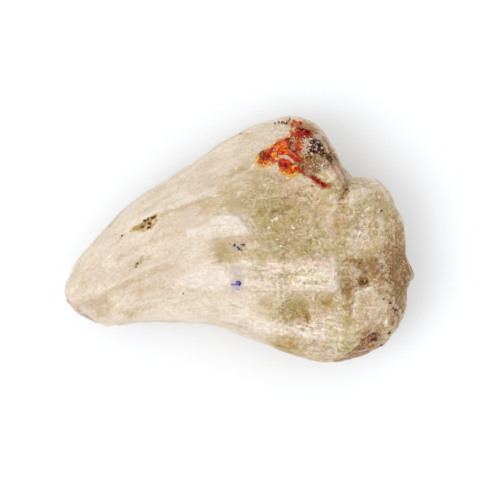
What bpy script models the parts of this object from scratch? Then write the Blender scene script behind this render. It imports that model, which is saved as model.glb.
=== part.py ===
"""Rough ulexite: a fin-shaped, satin-white stone with a crust of red crystals in a shallow pocket.

Seen from above the stone points to -X with its thin tail, and its fin rises towards +Y. It lies
on a small flat spot. Sizes and places below are in millimetres, and each mesh is scaled to metres
as it becomes an object. The origin is under the middle of the stone, on the flat spot's plane.
"""

import math
import random

import bmesh
import bpy
from mathutils import Matrix, Vector, noise
from mathutils.bvhtree import BVHTree
from mathutils.geometry import intersect_point_line
from mathutils.kdtree import KDTree

MM = 0.001  # one millimetre, in metres

# Outline from above, clockwise: the long upper edge, the fin, the notch, the lobe, the knob, the
# heel, the hollow belly and the broken end of the tail.
OUTLINE = [
    (-30.0, -9.0), (-28.9, -5.9), (-25.9, -1.5), (-22.2, 2.7), (-19.0, 5.8), (-13.9, 9.3),
    (-10.0, 11.5), (-6.2, 14.2), (-2.4, 17.1), (0.9, 18.7),
    (5.4, 20.6), (9.6, 21.3), (12.4, 20.7), (14.3, 19.6), (15.6, 17.7), (17.0, 14.9), (19.1, 11.4),
    (19.6, 10.4), (22.8, 10.5), (25.2, 9.7), (26.6, 7.6), (27.3, 5.4), (28.8, 2.6), (29.0, -1.6),
    (29.5, -3.9), (30.4, -5.9), (29.7, -7.4), (29.2, -9.4),
    (29.0, -12.0), (27.8, -15.1), (25.7, -17.7), (22.8, -19.5), (18.5, -20.8), (14.2, -21.3),
    (10.8, -20.3), (8.2, -19.5), (5.2, -18.2), (1.8, -16.8), (-1.6, -15.6), (-5.3, -14.8), (-11.0, -14.3),
    (-17.7, -14.5), (-22.8, -15.2),
    (-24.5, -14.8), (-28.2, -12.4), (-29.5, -10.9),
]
OUTLINE_STEPS = 7  # spline points per outline point
HEART = Vector((5.0, 0.0))  # every point of the outline can be seen from here
RINGS = 44  # rings of points from the rim to the heart, on the top and on the underside
RIM_CROWDING = 1.45  # above 1, the rings stand closer together near the rim

# Heights read at places (x, y) and blended in between: the rim, the top and the underside.
RIM_HEIGHT = [
    ((-29.0, -9.0), 7.5), ((-14.0, 9.0), 9.0), ((8.0, 21.0), 10.5), ((19.0, 10.5), 8.5),
    ((30.0, -5.0), 10.0), ((20.0, -20.0), 8.0), ((0.0, -16.0), 9.5), ((-20.0, -14.5), 8.5),
]
TOP_HEIGHT = [
    ((-27.0, -9.5), 12.0), ((-20.0, -3.0), 14.2), ((-10.0, 5.0), 17.0), ((-8.0, -9.0), 16.2),
    ((2.0, 12.0), 18.6), ((9.0, 17.0), 17.4), ((8.0, -5.0), 19.8), ((16.0, 6.0), 18.4),
    ((23.0, 4.0), 17.2), ((24.0, -9.0), 17.6), ((12.0, -16.0), 17.2),
]
UNDERSIDE_HEIGHT = [
    ((-27.0, -9.5), 4.6), ((-15.0, -2.0), 2.6), ((4.0, -2.0), -1.4), ((8.0, 18.0), 3.6),
    ((-8.0, 10.0), 3.2), ((24.0, 5.0), 3.4), ((25.0, -10.0), 2.8), ((12.0, -18.0), 2.4),
]
# How far in from the rim the surface takes to level out, above and below.
TOP_SHOULDER = [
    ((-29.0, -9.0), 3.0), ((-14.0, 9.0), 4.6), ((4.0, 20.0), 3.8), ((16.5, 15.0), 3.4),
    ((20.0, 10.0), 2.2), ((28.0, 2.0), 4.0), ((29.0, -6.0), 4.6), ((22.0, -19.0), 4.4),
    ((6.0, -18.0), 3.0), ((-10.0, -14.0), 2.2),
]
UNDERSIDE_SHOULDER = [
    ((-29.0, -9.0), 5.0), ((-14.0, 9.0), 8.0), ((8.0, 20.0), 7.0), ((20.0, 10.0), 5.0),
    ((29.0, -5.0), 7.5), ((20.0, -20.0), 7.0), ((-8.0, -14.0), 6.0),
]

# Flat faces broken or worn on the stone: a point on each and the way it faces.
FACETS = [
    ("tail end", (-27.0, -12.6, 9.0), (-0.60, -0.77, 0.22)),
    ("tail end below", (-27.0, -12.2, 6.0), (-0.52, -0.62, -0.58)),
    ("long upper bevel", (-12.0, 7.2, 15.2), (-0.36, 0.52, 0.77)),
    ("tail top", (-20.0, -6.0, 13.6), (-0.20, -0.12, 0.97)),
    ("fin crest", (8.5, 19.4, 14.2), (0.05, 0.80, 0.60)),
    ("end of the lobe", (27.0, -1.0, 14.6), (0.80, 0.10, 0.59)),
    ("heel", (25.0, -15.6, 13.8), (0.55, -0.60, 0.58)),
    ("underside of the tail", (-15.0, -6.0, 3.4), (-0.22, -0.20, -0.95)),
    ("underside of the upper edge", (-6.0, 11.0, 4.6), (-0.28, 0.52, -0.81)),
    ("underside of the fin", (10.0, 15.0, 4.0), (0.25, 0.50, -0.83)),
    ("underside of the lobe", (23.0, 2.0, 4.2), (0.62, 0.12, -0.78)),
    ("underside of the heel", (19.0, -14.0, 3.4), (0.42, -0.42, -0.80)),
    ("underside of the belly", (2.0, -12.5, 3.2), (-0.10, -0.62, -0.78)),
]

# Broken steps on the top: the path of the edge with the high side on its left, the height of the
# step and how far the high side takes to fall back.
LEDGES = [
    ("upper fibre plate", [(-6.0, -0.4), (-3.3, 0.5), (-0.7, 0.7), (1.9, 0.8), (2.2, 1.9), (1.4, 2.7),
                           (0.6, 3.7), (-1.6, 4.0), (-4.8, 4.3)], 1.15, 7.0),
    ("lower fibre plate", [(-0.9, -9.0), (-1.3, -7.5), (-1.6, -6.3), (-2.1, -5.2), (-2.8, -4.4),
                           (-4.3, -4.1), (-7.0, -4.6)], 1.10, 7.0),
    ("end of the satin strip", [(17.2, -9.6), (17.1, -5.0), (16.4, -1.6)], 1.15, 9.0),
    ("top of the satin strip", [(17.0, -4.9), (8.0, -3.7), (0.0, -3.3)], 0.60, 3.5),
    ("foot of the satin strip", [(0.0, -8.5), (8.0, -8.8), (17.0, -8.9)], 0.50, 3.0),
    ("angular plate", [(26.4, -12.8), (25.2, -10.3), (23.9, -9.2), (23.3, -7.9), (21.7, -8.6),
                       (20.1, -9.2), (19.2, -10.4), (19.6, -14.6)], 1.10, 5.0),
    ("lobe", [(24.6, 8.4), (23.3, 9.1), (21.0, 9.0), (19.3, 8.2), (18.5, 6.6), (18.4, 4.6)], 1.00, 4.5),
    ("white lower band", [(3.6, -13.4), (6.6, -14.8), (9.7, -16.0), (13.6, -17.1), (16.6, -16.9)],
     0.75, 3.5),
    ("long upper line", [(-15.6, 4.4), (-8.2, 6.5), (-5.6, 7.5), (-2.6, 8.8)], 0.45, 4.0),
    ("tail strand", [(-24.6, -9.6), (-20.4, -7.4), (-15.6, -4.7), (-10.6, -3.2)], 0.40, 3.0),
    ("belly strand", [(-18.0, -11.6), (-12.0, -9.6), (-6.0, -9.2)], 0.35, 3.0),
]
LEDGE_WIDTH = 0.35  # half the width over which a step falls
LEDGE_END = 1.6  # length over which a step dies out at each end of its path

# Worn bowls in the top: centre, half sizes, turn in degrees and depth.
HOLLOWS = [
    ("olive basin", (8.6, 3.6), (9.5, 5.4), -10, 0.95),
    ("hollow between the plates", (-1.0, -1.9), (2.9, 2.0), 0, 0.60),
    ("hollow under the satin strip", (10.0, -11.6), (3.1, 2.6), 0, 0.85),
    ("trough past the satin strip", (18.5, -7.2), (1.5, 3.0), 0, 1.10),
    ("pocket above the angular plate", (21.0, -7.2), (1.8, 1.0), 20, 0.80),
    ("upper tail pit", (-16.2, 2.9), (1.9, 0.9), 33, 0.75),
    ("lower tail pit", (-16.6, -4.1), (1.4, 0.8), 30, 0.55),
    ("heel pit", (22.6, -16.9), (1.5, 0.9), 35, 0.80),
    ("hollow over the heel", (13.6, -18.2), (3.0, 1.1), -6, 0.55),
]
# The crease between the fin and the lobe: its path, half width and depth.
CREASE = [(19.5, 11.2), (18.5, 8.0), (17.8, 4.0), (17.0, 0.0)]
CREASE_WIDTH, CREASE_DEPTH = 1.1, 1.25

# Fibres sweep up out of the tail and level off past the middle: their slope at either end, where
# it changes and over what length, and how much they fan out with each millimetre of x.
TAIL_SLOPE, HEAD_SLOPE, SLOPE_CHANGE_X, SLOPE_CHANGE_RUN, FAN = 0.62, -0.10, -7.0, 5.0, 0.012
FIBRE_WIDTH, FIBRE_LENGTH = 2.3, 16.0
FIBRE_RELIEF, FLANK_FIBRE_RELIEF = 0.2, 0.62  # on the worn top, and on the broken flanks
LUMP_SIZE, LUMP_RELIEF = 7.0, 0.42
GRAIN_SIZE, GRAIN_RELIEF = 2.2, 0.15
RAGGED_SIZE, RAGGED_REACH = 1.9, 0.45  # how much the ledges wander sideways
RAGGED_SEED = 1795641022  # any whole number but 0, which would take another from the clock each run

STONE_TRIANGLES = 7400

# The crust of red crystals near the fin's crest, clockwise from above.
CRUST_OUTLINE = [
    (3.0, 13.6), (3.6, 14.8), (5.0, 15.9), (6.9, 16.9), (8.5, 17.6), (8.7, 18.8), (10.2, 19.4),
    (12.2, 18.5), (13.8, 17.0), (14.4, 15.5), (13.3, 14.3), (11.5, 14.1), (11.0, 12.8),
    (10.5, 11.3), (9.4, 10.7), (8.1, 11.1), (7.0, 12.2), (6.0, 13.0), (4.5, 12.6), (3.4, 12.7),
]
POCKET_DEPTH = 2.0
CRUST_GAP = 0.3  # clear all round between the crust and its pocket
CRUST_OVERHANG = 0.15  # how far the crystals may lean out past the bed that they grow on
CRUST_SINK = 0.35  # the bed of the crust stays this far below the stone's surface
CLEAR_OF_TOP = 4.0  # how far the cutters of the pocket and the crust stand up past the stone
CRYSTAL_PITCH = 1.05
CRYSTAL_SHIFT = 0.3  # how far a crystal may stand off its place, as a share of the pitch
CRYSTAL_HALF_WIDTH, CRYSTAL_FLATNESS = (0.42, 0.80), 0.8
CRYSTAL_HEIGHT = (1.7, 2.5)  # in half widths
CRYSTAL_SIDES, CRYSTAL_TAPER, CRYSTAL_LEAN = 5, 0.7, 0.7  # the lean in radians
CRYSTAL_SEED = 11

STONE_COLOUR = (0.74, 0.64, 0.48)
CRUST_COLOUR = (0.62, 0.06, 0.01)


def smoothstep(low, high, value):
    """0 below low, 1 above high, and a smooth climb in between."""
    t = min(1.0, max(0.0, (value - low) / (high - low)))
    return t * t * (3.0 - 2.0 * t)


def blended(places, x, y):
    """The value at (x, y), blended from the values at the places around it."""
    total = weights = 0.0
    for (px, py), value in places:
        weight = 1.0 / ((x - px) ** 2 + (y - py) ** 2 + 4.0) ** 1.5
        total += weight * value
        weights += weight
    return total / weights


def smooth_loop(points, steps):
    """A closed curve through the points, with this many points to each stretch."""
    count = len(points)
    loop = []
    for i in range(count):
        before, start, end, after = (Vector(points[(i + k) % count]) for k in (-1, 0, 1, 2))
        for step in range(steps):
            t = step / steps
            loop.append(0.5 * (
                2 * start + (end - before) * t
                + (2 * before - 5 * start + 4 * end - after) * t ** 2
                + (3 * start - before - 3 * end + after) * t ** 3
            ))
    return loop


def nearest_on_path(point, path):
    """(distance, which side, length from the nearer end) of a flat point against an open path.

    The side is positive on the path's left.
    """
    lengths = [(b - a).length for a, b in zip(path, path[1:])]
    whole = sum(lengths)
    best = None
    walked = 0.0
    for a, b, length in zip(path, path[1:], lengths):
        along = min(1.0, max(0.0, (point - a).dot(b - a) / length ** 2))
        distance = (point - a.lerp(b, along)).length
        if best is None or distance < best[0]:
            ahead, aside = b - a, point - a
            side = ahead.x * aside.y - ahead.y * aside.x
            place = walked + along * length
            best = distance, side, min(place, whole - place)
        walked += length
    return best


def fibre_frame(x, y):
    """(along, across): how far a point is along the fibres and across them."""
    swing = SLOPE_CHANGE_RUN * math.log1p(math.exp((SLOPE_CHANGE_X - x) / SLOPE_CHANGE_RUN))
    climb = HEAD_SLOPE * x - (TAIL_SLOPE - HEAD_SLOPE) * swing
    return x, (y - climb) / (1.0 + FAN * (x + 30.0))


def ledge_offset(flat):
    """How far the broken steps lift the top at a flat point."""
    lift = 0.0
    for _, path, height, run in LEDGES:
        distance, side, from_end = nearest_on_path(flat, [Vector(p) for p in path])
        if distance > 4.0 * run:
            continue
        signed = math.copysign(distance, side)
        step = smoothstep(-LEDGE_WIDTH, LEDGE_WIDTH, signed)
        ends = smoothstep(0.0, LEDGE_END, from_end)
        lift += height * step * ends * math.exp(-max(0.0, signed) / run)
    return lift


def hollow_offset(flat):
    """How far the hollows and the crease sink the top at a flat point."""
    sink = 0.0
    for _, centre, half, turn, depth in HOLLOWS:
        aside = flat - Vector(centre)
        aside.rotate(Matrix.Rotation(-math.radians(turn), 2))
        reach = math.hypot(aside.x / half[0], aside.y / half[1])
        sink += depth * (1.0 - smoothstep(0.55, 1.15, reach))
    distance, _, from_end = nearest_on_path(flat, [Vector(p) for p in CREASE])
    fade = math.exp(-((distance / CREASE_WIDTH) ** 2))
    return sink + CREASE_DEPTH * fade * smoothstep(-1.0, 3.0, from_end)


class Rim:
    """The stone's outline, and what it says of a point inside it."""

    def __init__(self):
        self.points = smooth_loop(OUTLINE, OUTLINE_STEPS)
        self.tree = KDTree(len(self.points))
        for i, point in enumerate(self.points):
            self.tree.insert(point.to_3d(), i)
        self.tree.balance()

    def distance(self, flat):
        """How far in from the rim a flat point lies."""
        _, i, _ = self.tree.find(flat.to_3d())
        count = len(self.points)
        here = self.points[i]
        found = []
        for there in (self.points[i - 1], self.points[(i + 1) % count]):
            near, along = intersect_point_line(flat, here, there)
            found.append((flat - (near.to_2d() if 0.0 <= along <= 1.0 else here)).length)
        return min(found)

    def top(self, flat):
        """Height of the top surface over a flat point."""
        x, y = flat
        wander = noise.noise_vector(Vector((x, y, 3.0)) / RAGGED_SIZE).to_2d() * RAGGED_REACH
        rim = blended(RIM_HEIGHT, x, y)
        level = blended(TOP_HEIGHT, x, y) + ledge_offset(flat + wander) - hollow_offset(flat)
        in_from_rim = min(1.0, self.distance(flat) / blended(TOP_SHOULDER, x, y))
        return rim + (level - rim) * math.sqrt(1.0 - (1.0 - in_from_rim) ** 2)

    def underside(self, flat):
        """Height of the underside at a flat point."""
        x, y = flat
        rim = blended(RIM_HEIGHT, x, y)
        level = blended(UNDERSIDE_HEIGHT, x, y)
        in_from_rim = min(1.0, self.distance(flat) / blended(UNDERSIDE_SHOULDER, x, y))
        return rim - (rim - level) * math.sqrt(1.0 - (1.0 - in_from_rim) ** 2)


def stone_shell(rim):
    """A closed shell: rings of points from the rim to the heart, over the top and the underside."""
    shell = bmesh.new()
    count = len(rim.points)
    shares = [(ring / RINGS) ** RIM_CROWDING for ring in range(RINGS)]
    rim_loop = [shell.verts.new((*p, blended(RIM_HEIGHT, *p))) for p in rim.points]
    for height, facing in ((rim.top, -1), (rim.underside, 1)):
        loops = [rim_loop]
        for share in shares[1:]:
            flats = [p.lerp(HEART, share) for p in rim.points]
            loops.append([shell.verts.new((*flat, height(flat))) for flat in flats])
        pole = shell.verts.new((*HEART, height(HEART)))
        for i in range(count):
            j = (i + 1) % count
            for outer, inner in zip(loops, loops[1:]):
                shell.faces.new((outer[i], outer[j], inner[j], inner[i])[::facing])
            shell.faces.new((loops[-1][i], loops[-1][j], pole)[::facing])
    return shell


def shave(shell, point, facing):
    """Flattens what stands out past a plane."""
    facing = Vector(facing).normalized()
    for vert in shell.verts:
        past = (vert.co - Vector(point)).dot(facing)
        if past > 0.0:
            vert.co -= facing * past


def roughen(shell):
    """Lumps, fibre ridges and grain over the whole stone, moved along its normals."""
    shell.normal_update()
    moves = []
    for vert in shell.verts:
        along, across = fibre_frame(vert.co.x, vert.co.y)
        fibre = Vector((along / FIBRE_LENGTH, across / FIBRE_WIDTH, vert.co.z / FIBRE_WIDTH))
        worn = smoothstep(0.3, 0.8, vert.normal.z)
        relief = FLANK_FIBRE_RELIEF + (FIBRE_RELIEF - FLANK_FIBRE_RELIEF) * worn
        move = LUMP_RELIEF * noise.noise(vert.co / LUMP_SIZE)
        move += relief * (0.5 - 2.0 * abs(noise.noise(fibre)))
        move += GRAIN_RELIEF * noise.noise(vert.co / GRAIN_SIZE)
        moves.append(vert.normal * move)
    for vert, move in zip(shell.verts, moves):
        vert.co += move


def flatten_base(shell):
    """Cuts the stone off level at its foot, which leaves the flat spot that it lies on."""
    everything = shell.verts[:] + shell.edges[:] + shell.faces[:]
    cut = bmesh.ops.bisect_plane(
        shell, geom=everything, dist=1e-5, plane_co=(0, 0, 0), plane_no=(0, 0, -1), clear_outer=True
    )
    edges = [item for item in cut["geom_cut"] if isinstance(item, bmesh.types.BMEdge)]
    bmesh.ops.holes_fill(shell, edges=edges)


def prism(outline, floor, roof):
    """A closed block over an outline, whose floor and roof heights are read at each point."""
    block = bmesh.new()
    low = [block.verts.new((*p, floor(p))) for p in outline]
    high = [block.verts.new((*p, roof(p))) for p in outline]
    count = len(outline)
    block.faces.new(low)
    block.faces.new(high[::-1])
    for i in range(count):
        j = (i + 1) % count
        block.faces.new((low[j], low[i], high[i], high[j]))
    bmesh.ops.triangulate(block, faces=[f for f in block.faces if len(f.verts) > 4])
    bmesh.ops.recalc_face_normals(block, faces=block.faces)
    return block


def drawn_in(outline, gap):
    """A clockwise outline moved inwards by a gap."""
    moved = []
    for i, point in enumerate(outline):
        ahead = (outline[(i + 1) % len(outline)] - outline[i - 1]).normalized()
        moved.append(point + Vector((ahead.y, -ahead.x)) * gap)
    return moved


def inside(outline, flat):
    """Whether a flat point lies within an outline."""
    crossings = 0
    for a, b in zip(outline, outline[1:] + outline[:1]):
        if (a.y > flat.y) != (b.y > flat.y):
            crossings += flat.x < a.x + (b.x - a.x) * (flat.y - a.y) / (b.y - a.y)
    return crossings % 2 == 1


def crystals(outline, surface):
    """Small blunt crystals that stand close together over an outline, each turned its own way."""
    chance = random.Random(CRYSTAL_SEED)
    grown = bmesh.new()
    low = Vector((min(p.x for p in outline), min(p.y for p in outline)))
    high = Vector((max(p.x for p in outline), max(p.y for p in outline)))
    columns = math.ceil((high.x - low.x) / CRYSTAL_PITCH)
    rows = math.ceil((high.y - low.y) / CRYSTAL_PITCH)
    for row in range(rows + 1):
        for column in range(columns + 1):
            shift = Vector([chance.uniform(-CRYSTAL_SHIFT, CRYSTAL_SHIFT) for _ in "xy"])
            flat = low + (Vector((column + 0.5 * (row % 2), row)) + shift) * CRYSTAL_PITCH
            half = chance.uniform(*CRYSTAL_HALF_WIDTH)
            height = half * chance.uniform(*CRYSTAL_HEIGHT)
            size = Matrix.Diagonal((half, half * CRYSTAL_FLATNESS, height, 1.0))
            lean = Matrix.Rotation(chance.uniform(0.0, CRYSTAL_LEAN), 4, "X")
            turn = Matrix.Rotation(chance.uniform(0.0, math.tau), 4, "Z")
            if not inside(outline, flat):
                continue
            place = Matrix.Translation((*flat, surface(flat) - CRUST_SINK))
            bmesh.ops.create_cone(
                grown, cap_ends=True, segments=CRYSTAL_SIDES, radius1=1.0, radius2=CRYSTAL_TAPER, depth=1.0,
                matrix=place @ turn @ lean @ size,
            )
    bmesh.ops.triangulate(grown, faces=grown.faces)
    return grown


def material(name, colour, roughness):
    made = bpy.data.materials.new(name)
    made.use_nodes = True
    shader = made.node_tree.nodes["Principled BSDF"]
    shader.inputs["Base Color"].default_value = (*colour, 1.0)
    shader.inputs["Roughness"].default_value = roughness
    shader.inputs["Metallic"].default_value = 0.0
    made.diffuse_color = (*colour, 1.0)
    return made


def new_object(name, shape):
    """An object in metres from a bmesh in millimetres."""
    mesh = bpy.data.meshes.new(name)
    bmesh.ops.scale(shape, vec=(MM, MM, MM), verts=shape.verts)
    shape.to_mesh(mesh)
    shape.free()
    obj = bpy.data.objects.new(name, mesh)
    bpy.context.scene.collection.objects.link(obj)
    return obj


def cutter_object(name, shape):
    obj = new_object(name, shape)
    obj.hide_render = True
    obj.display_type = "WIRE"
    return obj


def boolean(obj, operation, other, overlapping=False):
    """Adds a Boolean. overlapping says that the other mesh crosses itself, as a pile of crystals does."""
    modifier = obj.modifiers.new(f"{operation.lower()} {other.name}", "BOOLEAN")
    modifier.operation = operation
    modifier.object = other
    modifier.solver = "EXACT"
    modifier.use_self = overlapping


def decimated(shape, triangles):
    """The shape with its flatter stretches thinned to about this many triangles."""
    bmesh.ops.triangulate(shape, faces=shape.faces)
    obj = new_object("thinned", shape)
    modifier = obj.modifiers.new("thin", "DECIMATE")
    modifier.ratio = triangles / len(obj.data.polygons)
    graph = bpy.context.evaluated_depsgraph_get()
    thin = bmesh.new()
    thin.from_object(obj, graph)
    bmesh.ops.scale(thin, vec=(1 / MM, 1 / MM, 1 / MM), verts=thin.verts)
    bpy.data.objects.remove(obj)
    return thin


def centre_on_origin(shell):
    """Moves the stone so that the middle of its length and width is over the origin."""
    xs = [v.co.x for v in shell.verts]
    ys = [v.co.y for v in shell.verts]
    shift = Vector((-(min(xs) + max(xs)) / 2, -(min(ys) + max(ys)) / 2, 0.0))
    bmesh.ops.translate(shell, verts=shell.verts, vec=shift)


def surface_of(shell):
    """A function that gives the height of the shell's top over a flat point."""
    tree = BVHTree.FromBMesh(shell)
    above = max(v.co.z for v in shell.verts) + 1.0
    return lambda flat: tree.ray_cast(Vector((*flat, above)), Vector((0, 0, -1)))[0].z


def make_stone():
    """The stone without its pocket, standing over the origin."""
    noise.seed_set(RAGGED_SEED)
    rim = Rim()
    shell = stone_shell(rim)
    for _, point, facing in FACETS:
        shave(shell, point, facing)
    roughen(shell)
    shell = decimated(shell, STONE_TRIANGLES)
    flatten_base(shell)
    centre_on_origin(shell)
    surface = surface_of(shell)
    return new_object("ulexite_stone", shell), surface


def make_crust(surface):
    """The crust of crystals, and the cutter of the pocket that holds it."""
    outline = smooth_loop(CRUST_OUTLINE, 2)
    room_outline = drawn_in(outline, CRUST_GAP)
    bed_outline = drawn_in(outline, CRUST_GAP + CRUST_OVERHANG)
    bed_depth = POCKET_DEPTH - CRUST_GAP
    pocket = prism(outline, lambda p: surface(p) - POCKET_DEPTH, lambda p: surface(p) + CLEAR_OF_TOP)
    room = prism(room_outline, lambda p: surface(p) - POCKET_DEPTH, lambda p: surface(p) + CLEAR_OF_TOP)
    bed = prism(bed_outline, lambda p: surface(p) - bed_depth, lambda p: surface(p) - CRUST_SINK)
    grown = crystals(bed_outline, surface)
    crust = new_object("realgar_crust", bed)
    boolean(crust, "UNION", cutter_object("crystals", grown), overlapping=True)
    boolean(crust, "INTERSECT", cutter_object("room_in_the_pocket", room))
    return crust, cutter_object("pocket", pocket)


def main():
    for obj in list(bpy.data.objects):
        bpy.data.objects.remove(obj)
    stone, surface = make_stone()
    crust, pocket = make_crust(surface)
    boolean(stone, "DIFFERENCE", pocket)
    stone.data.materials.append(material("ulexite", STONE_COLOUR, 0.45))
    crust.data.materials.append(material("realgar", CRUST_COLOUR, 0.25))


main()
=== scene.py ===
import math
import random

import bmesh
import bpy
import numpy as np
from mathutils import Matrix, Vector, noise


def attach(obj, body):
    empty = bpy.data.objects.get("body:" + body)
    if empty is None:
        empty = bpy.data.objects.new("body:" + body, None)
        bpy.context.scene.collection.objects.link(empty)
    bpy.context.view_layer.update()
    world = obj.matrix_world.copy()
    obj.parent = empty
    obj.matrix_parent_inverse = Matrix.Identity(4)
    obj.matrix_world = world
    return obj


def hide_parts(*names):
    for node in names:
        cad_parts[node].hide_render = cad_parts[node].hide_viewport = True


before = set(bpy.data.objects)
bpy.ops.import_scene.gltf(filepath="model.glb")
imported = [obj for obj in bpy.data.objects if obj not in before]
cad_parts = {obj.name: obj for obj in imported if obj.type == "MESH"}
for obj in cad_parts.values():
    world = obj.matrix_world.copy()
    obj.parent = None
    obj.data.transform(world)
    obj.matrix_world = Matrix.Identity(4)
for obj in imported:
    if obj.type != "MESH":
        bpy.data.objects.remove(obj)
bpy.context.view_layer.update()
mm = 0.001  # the scene is in metres, and the numbers below are in millimetres
print("frame loaded:", sorted(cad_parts))

studio = {
    "brightness": 1.32,          # sky and key light together, as a level face sends them back
    "veil": 0.022,               # the sheen of the sky, which lies over every tone
    "cameraHeight": 429.0,       # above the floor
    "cameraOver": (0.26, 0.09),  # the point of the stone's frame under the lens
    "cameraClip": (10.0, 20000.0),
    "lens": 181.1,
    "sensor": 36.0,
    "rimHeight": 9.0,            # the plane on which the places seen from above are given
    "floorSize": 6000.0,
    "floorColour": (0.822, 0.84, 0.866, 1.0),
    "floorRoughness": 0.95,
    "floorSpecular": 0.1,
    "skyStrength": 1.13,
    "keyPlace": (-430.0, -175.0, 700.0),
    "keySize": 560.0,
    "keyPower": 1.95,
}


def setCamera():
    camera = bpy.data.cameras.new("camera")
    camera.lens = studio["lens"]
    camera.sensor_width = studio["sensor"]
    camera.clip_start, camera.clip_end = [v * mm for v in studio["cameraClip"]]
    eye = bpy.data.objects.new("camera", camera)
    eye.location = [v * mm for v in (*studio["cameraOver"], studio["cameraHeight"])]
    bpy.context.scene.collection.objects.link(eye)
    bpy.context.scene.camera = eye
    bpy.context.scene.view_settings.view_transform = "Standard"
    bpy.context.scene.view_settings.look = "None"


def setFloor():
    bpy.ops.object.select_all(action="DESELECT")
    bpy.ops.mesh.primitive_plane_add(size=studio["floorSize"] * mm, location=(0.0, 0.0, 0.0))
    floor = bpy.context.active_object
    floor.name = "paper_floor"
    paper = bpy.data.materials.new("pale paper")
    paper.use_nodes = True
    shader = paper.node_tree.nodes["Principled BSDF"]
    shader.inputs["Base Color"].default_value = studio["floorColour"]
    shader.inputs["Roughness"].default_value = studio["floorRoughness"]
    shader.inputs["Specular IOR Level"].default_value = studio["floorSpecular"]
    floor.data.materials.append(paper)


def setLights():
    sky = bpy.data.worlds.new("studio sky")
    sky.use_nodes = True
    sky.node_tree.nodes["Background"].inputs["Color"].default_value = (1.0, 1.0, 1.0, 1.0)
    sky.node_tree.nodes["Background"].inputs["Strength"].default_value = studio["skyStrength"]
    bpy.context.scene.world = sky

    lamp = bpy.data.lights.new("soft key", "AREA")
    lamp.shape = "DISK"
    lamp.size = studio["keySize"] * mm
    lamp.energy = studio["keyPower"]
    key = bpy.data.objects.new("soft key", lamp)
    key.location = [v * mm for v in studio["keyPlace"]]
    key.rotation_euler = (-Vector(studio["keyPlace"])).to_track_quat("-Z", "Y").to_euler()
    bpy.context.scene.collection.objects.link(key)


setCamera()
setFloor()
setLights()
print("studio set: camera, paper floor, sky and key light")


# helpers for the meshes, which take and give millimetres

def selectOnly(piece):
    bpy.ops.object.select_all(action="DESELECT")
    piece.select_set(True)
    bpy.context.view_layer.objects.active = piece


def applyModifier(piece, kind, **settings):
    selectOnly(piece)
    modifier = piece.modifiers.new(kind.lower(), kind)
    for name, value in settings.items():
        setattr(modifier, name, value)
    bpy.ops.object.modifier_apply(modifier=modifier.name)


def copyOfNode(nodeName, pieceName):
    # a CAD node's mesh is loose triangles, so the copy is merged first
    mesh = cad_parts[nodeName].data.copy()
    mesh.name = pieceName
    mesh.materials.clear()
    piece = bpy.data.objects.new(pieceName, mesh)
    bpy.context.scene.collection.objects.link(piece)
    selectOnly(piece)
    bpy.ops.object.mode_set(mode="EDIT")
    bpy.ops.mesh.select_all(action="SELECT")
    bpy.ops.mesh.remove_doubles(threshold=1e-6)
    bpy.ops.object.mode_set(mode="OBJECT")
    return piece


def pointsOf(piece):
    flat = np.empty(len(piece.data.vertices) * 3, np.float32)
    piece.data.vertices.foreach_get("co", flat)
    return flat.reshape(-1, 3).astype(float) / mm


def setPoints(piece, points):
    piece.data.vertices.foreach_set("co", (points * mm).astype(np.float32).ravel())
    piece.data.update()


def normalsOf(piece):
    flat = np.empty(len(piece.data.vertices) * 3, np.float32)
    piece.data.vertex_normals.foreach_get("vector", flat)
    return flat.reshape(-1, 3).astype(float)


def averaged(piece, values, rounds):
    # each vertex takes the mean of its neighbours, over and over
    pairs = np.empty(len(piece.data.edges) * 2, np.int32)
    piece.data.edges.foreach_get("vertices", pairs)
    a, b = pairs.reshape(-1, 2).T
    count = len(piece.data.vertices)
    share = np.bincount(a, minlength=count) + np.bincount(b, minlength=count)
    for _ in range(rounds):
        sums = [
            np.bincount(a, column[b], count) + np.bincount(b, column[a], count)
            for column in values.T
        ]
        values = np.stack(sums, 1) / np.maximum(share, 1)[:, None]
    return values


def wander(points, size, seed=0):
    # soft noise from about -1 to 1 at each point; size is one number or one for each axis
    spots = (points / np.asarray(size, float) + seed * 13.7).tolist()
    return np.array([noise.noise(spot) for spot in spots])


def eased(low, high, value):
    share = np.clip((value - low) / (high - low), 0.0, 1.0)
    return share * share * (3.0 - 2.0 * share)


def storeMasks(piece, masks):
    # each colour attribute carries four masks, in its three colours and its alpha
    kinds = list(masks)
    for start in range(0, len(kinds), 4):
        rows = np.zeros((len(piece.data.vertices), 4), np.float32)
        for column, kind in enumerate(kinds[start:start + 4]):
            rows[:, column] = masks[kind]
        attribute = piece.data.attributes.new("masks%d" % (start // 4), "FLOAT_COLOR", "POINT")
        attribute.data.foreach_set("color", rows.ravel())
    return kinds


# helpers for what is drawn from above, on the plane of the rim

def seenFromAbove(points):
    cx, cy = studio["cameraOver"]
    scale = (studio["cameraHeight"] - studio["rimHeight"]) / (studio["cameraHeight"] - points[:, 2])
    return cx + (points[:, 0] - cx) * scale, cy + (points[:, 1] - cy) * scale


def nearPath(x, y, path):
    # distance to a path, the side it lies on (positive on the left), and the length passed
    best = np.full(x.shape, np.inf)
    side = np.zeros(x.shape)
    passed = np.zeros(x.shape)
    start = 0.0
    for (ax, ay), (bx, by) in zip(path, path[1:]):
        dx, dy = bx - ax, by - ay
        length = math.hypot(dx, dy)
        raw = ((x - ax) * dx + (y - ay) * dy) / (length * length)
        share = np.clip(raw, 0.0, 1.0)
        gap = np.hypot(x - ax - share * dx, y - ay - share * dy)
        cross = (dx * (y - ay) - dy * (x - ax)) / length
        nearer = gap < best
        best = np.where(nearer, gap, best)
        side = np.where(nearer, np.sign(cross), side)
        passed = np.where(nearer, start + raw * length, passed)
        start += length
    return best, side, passed, start


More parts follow.
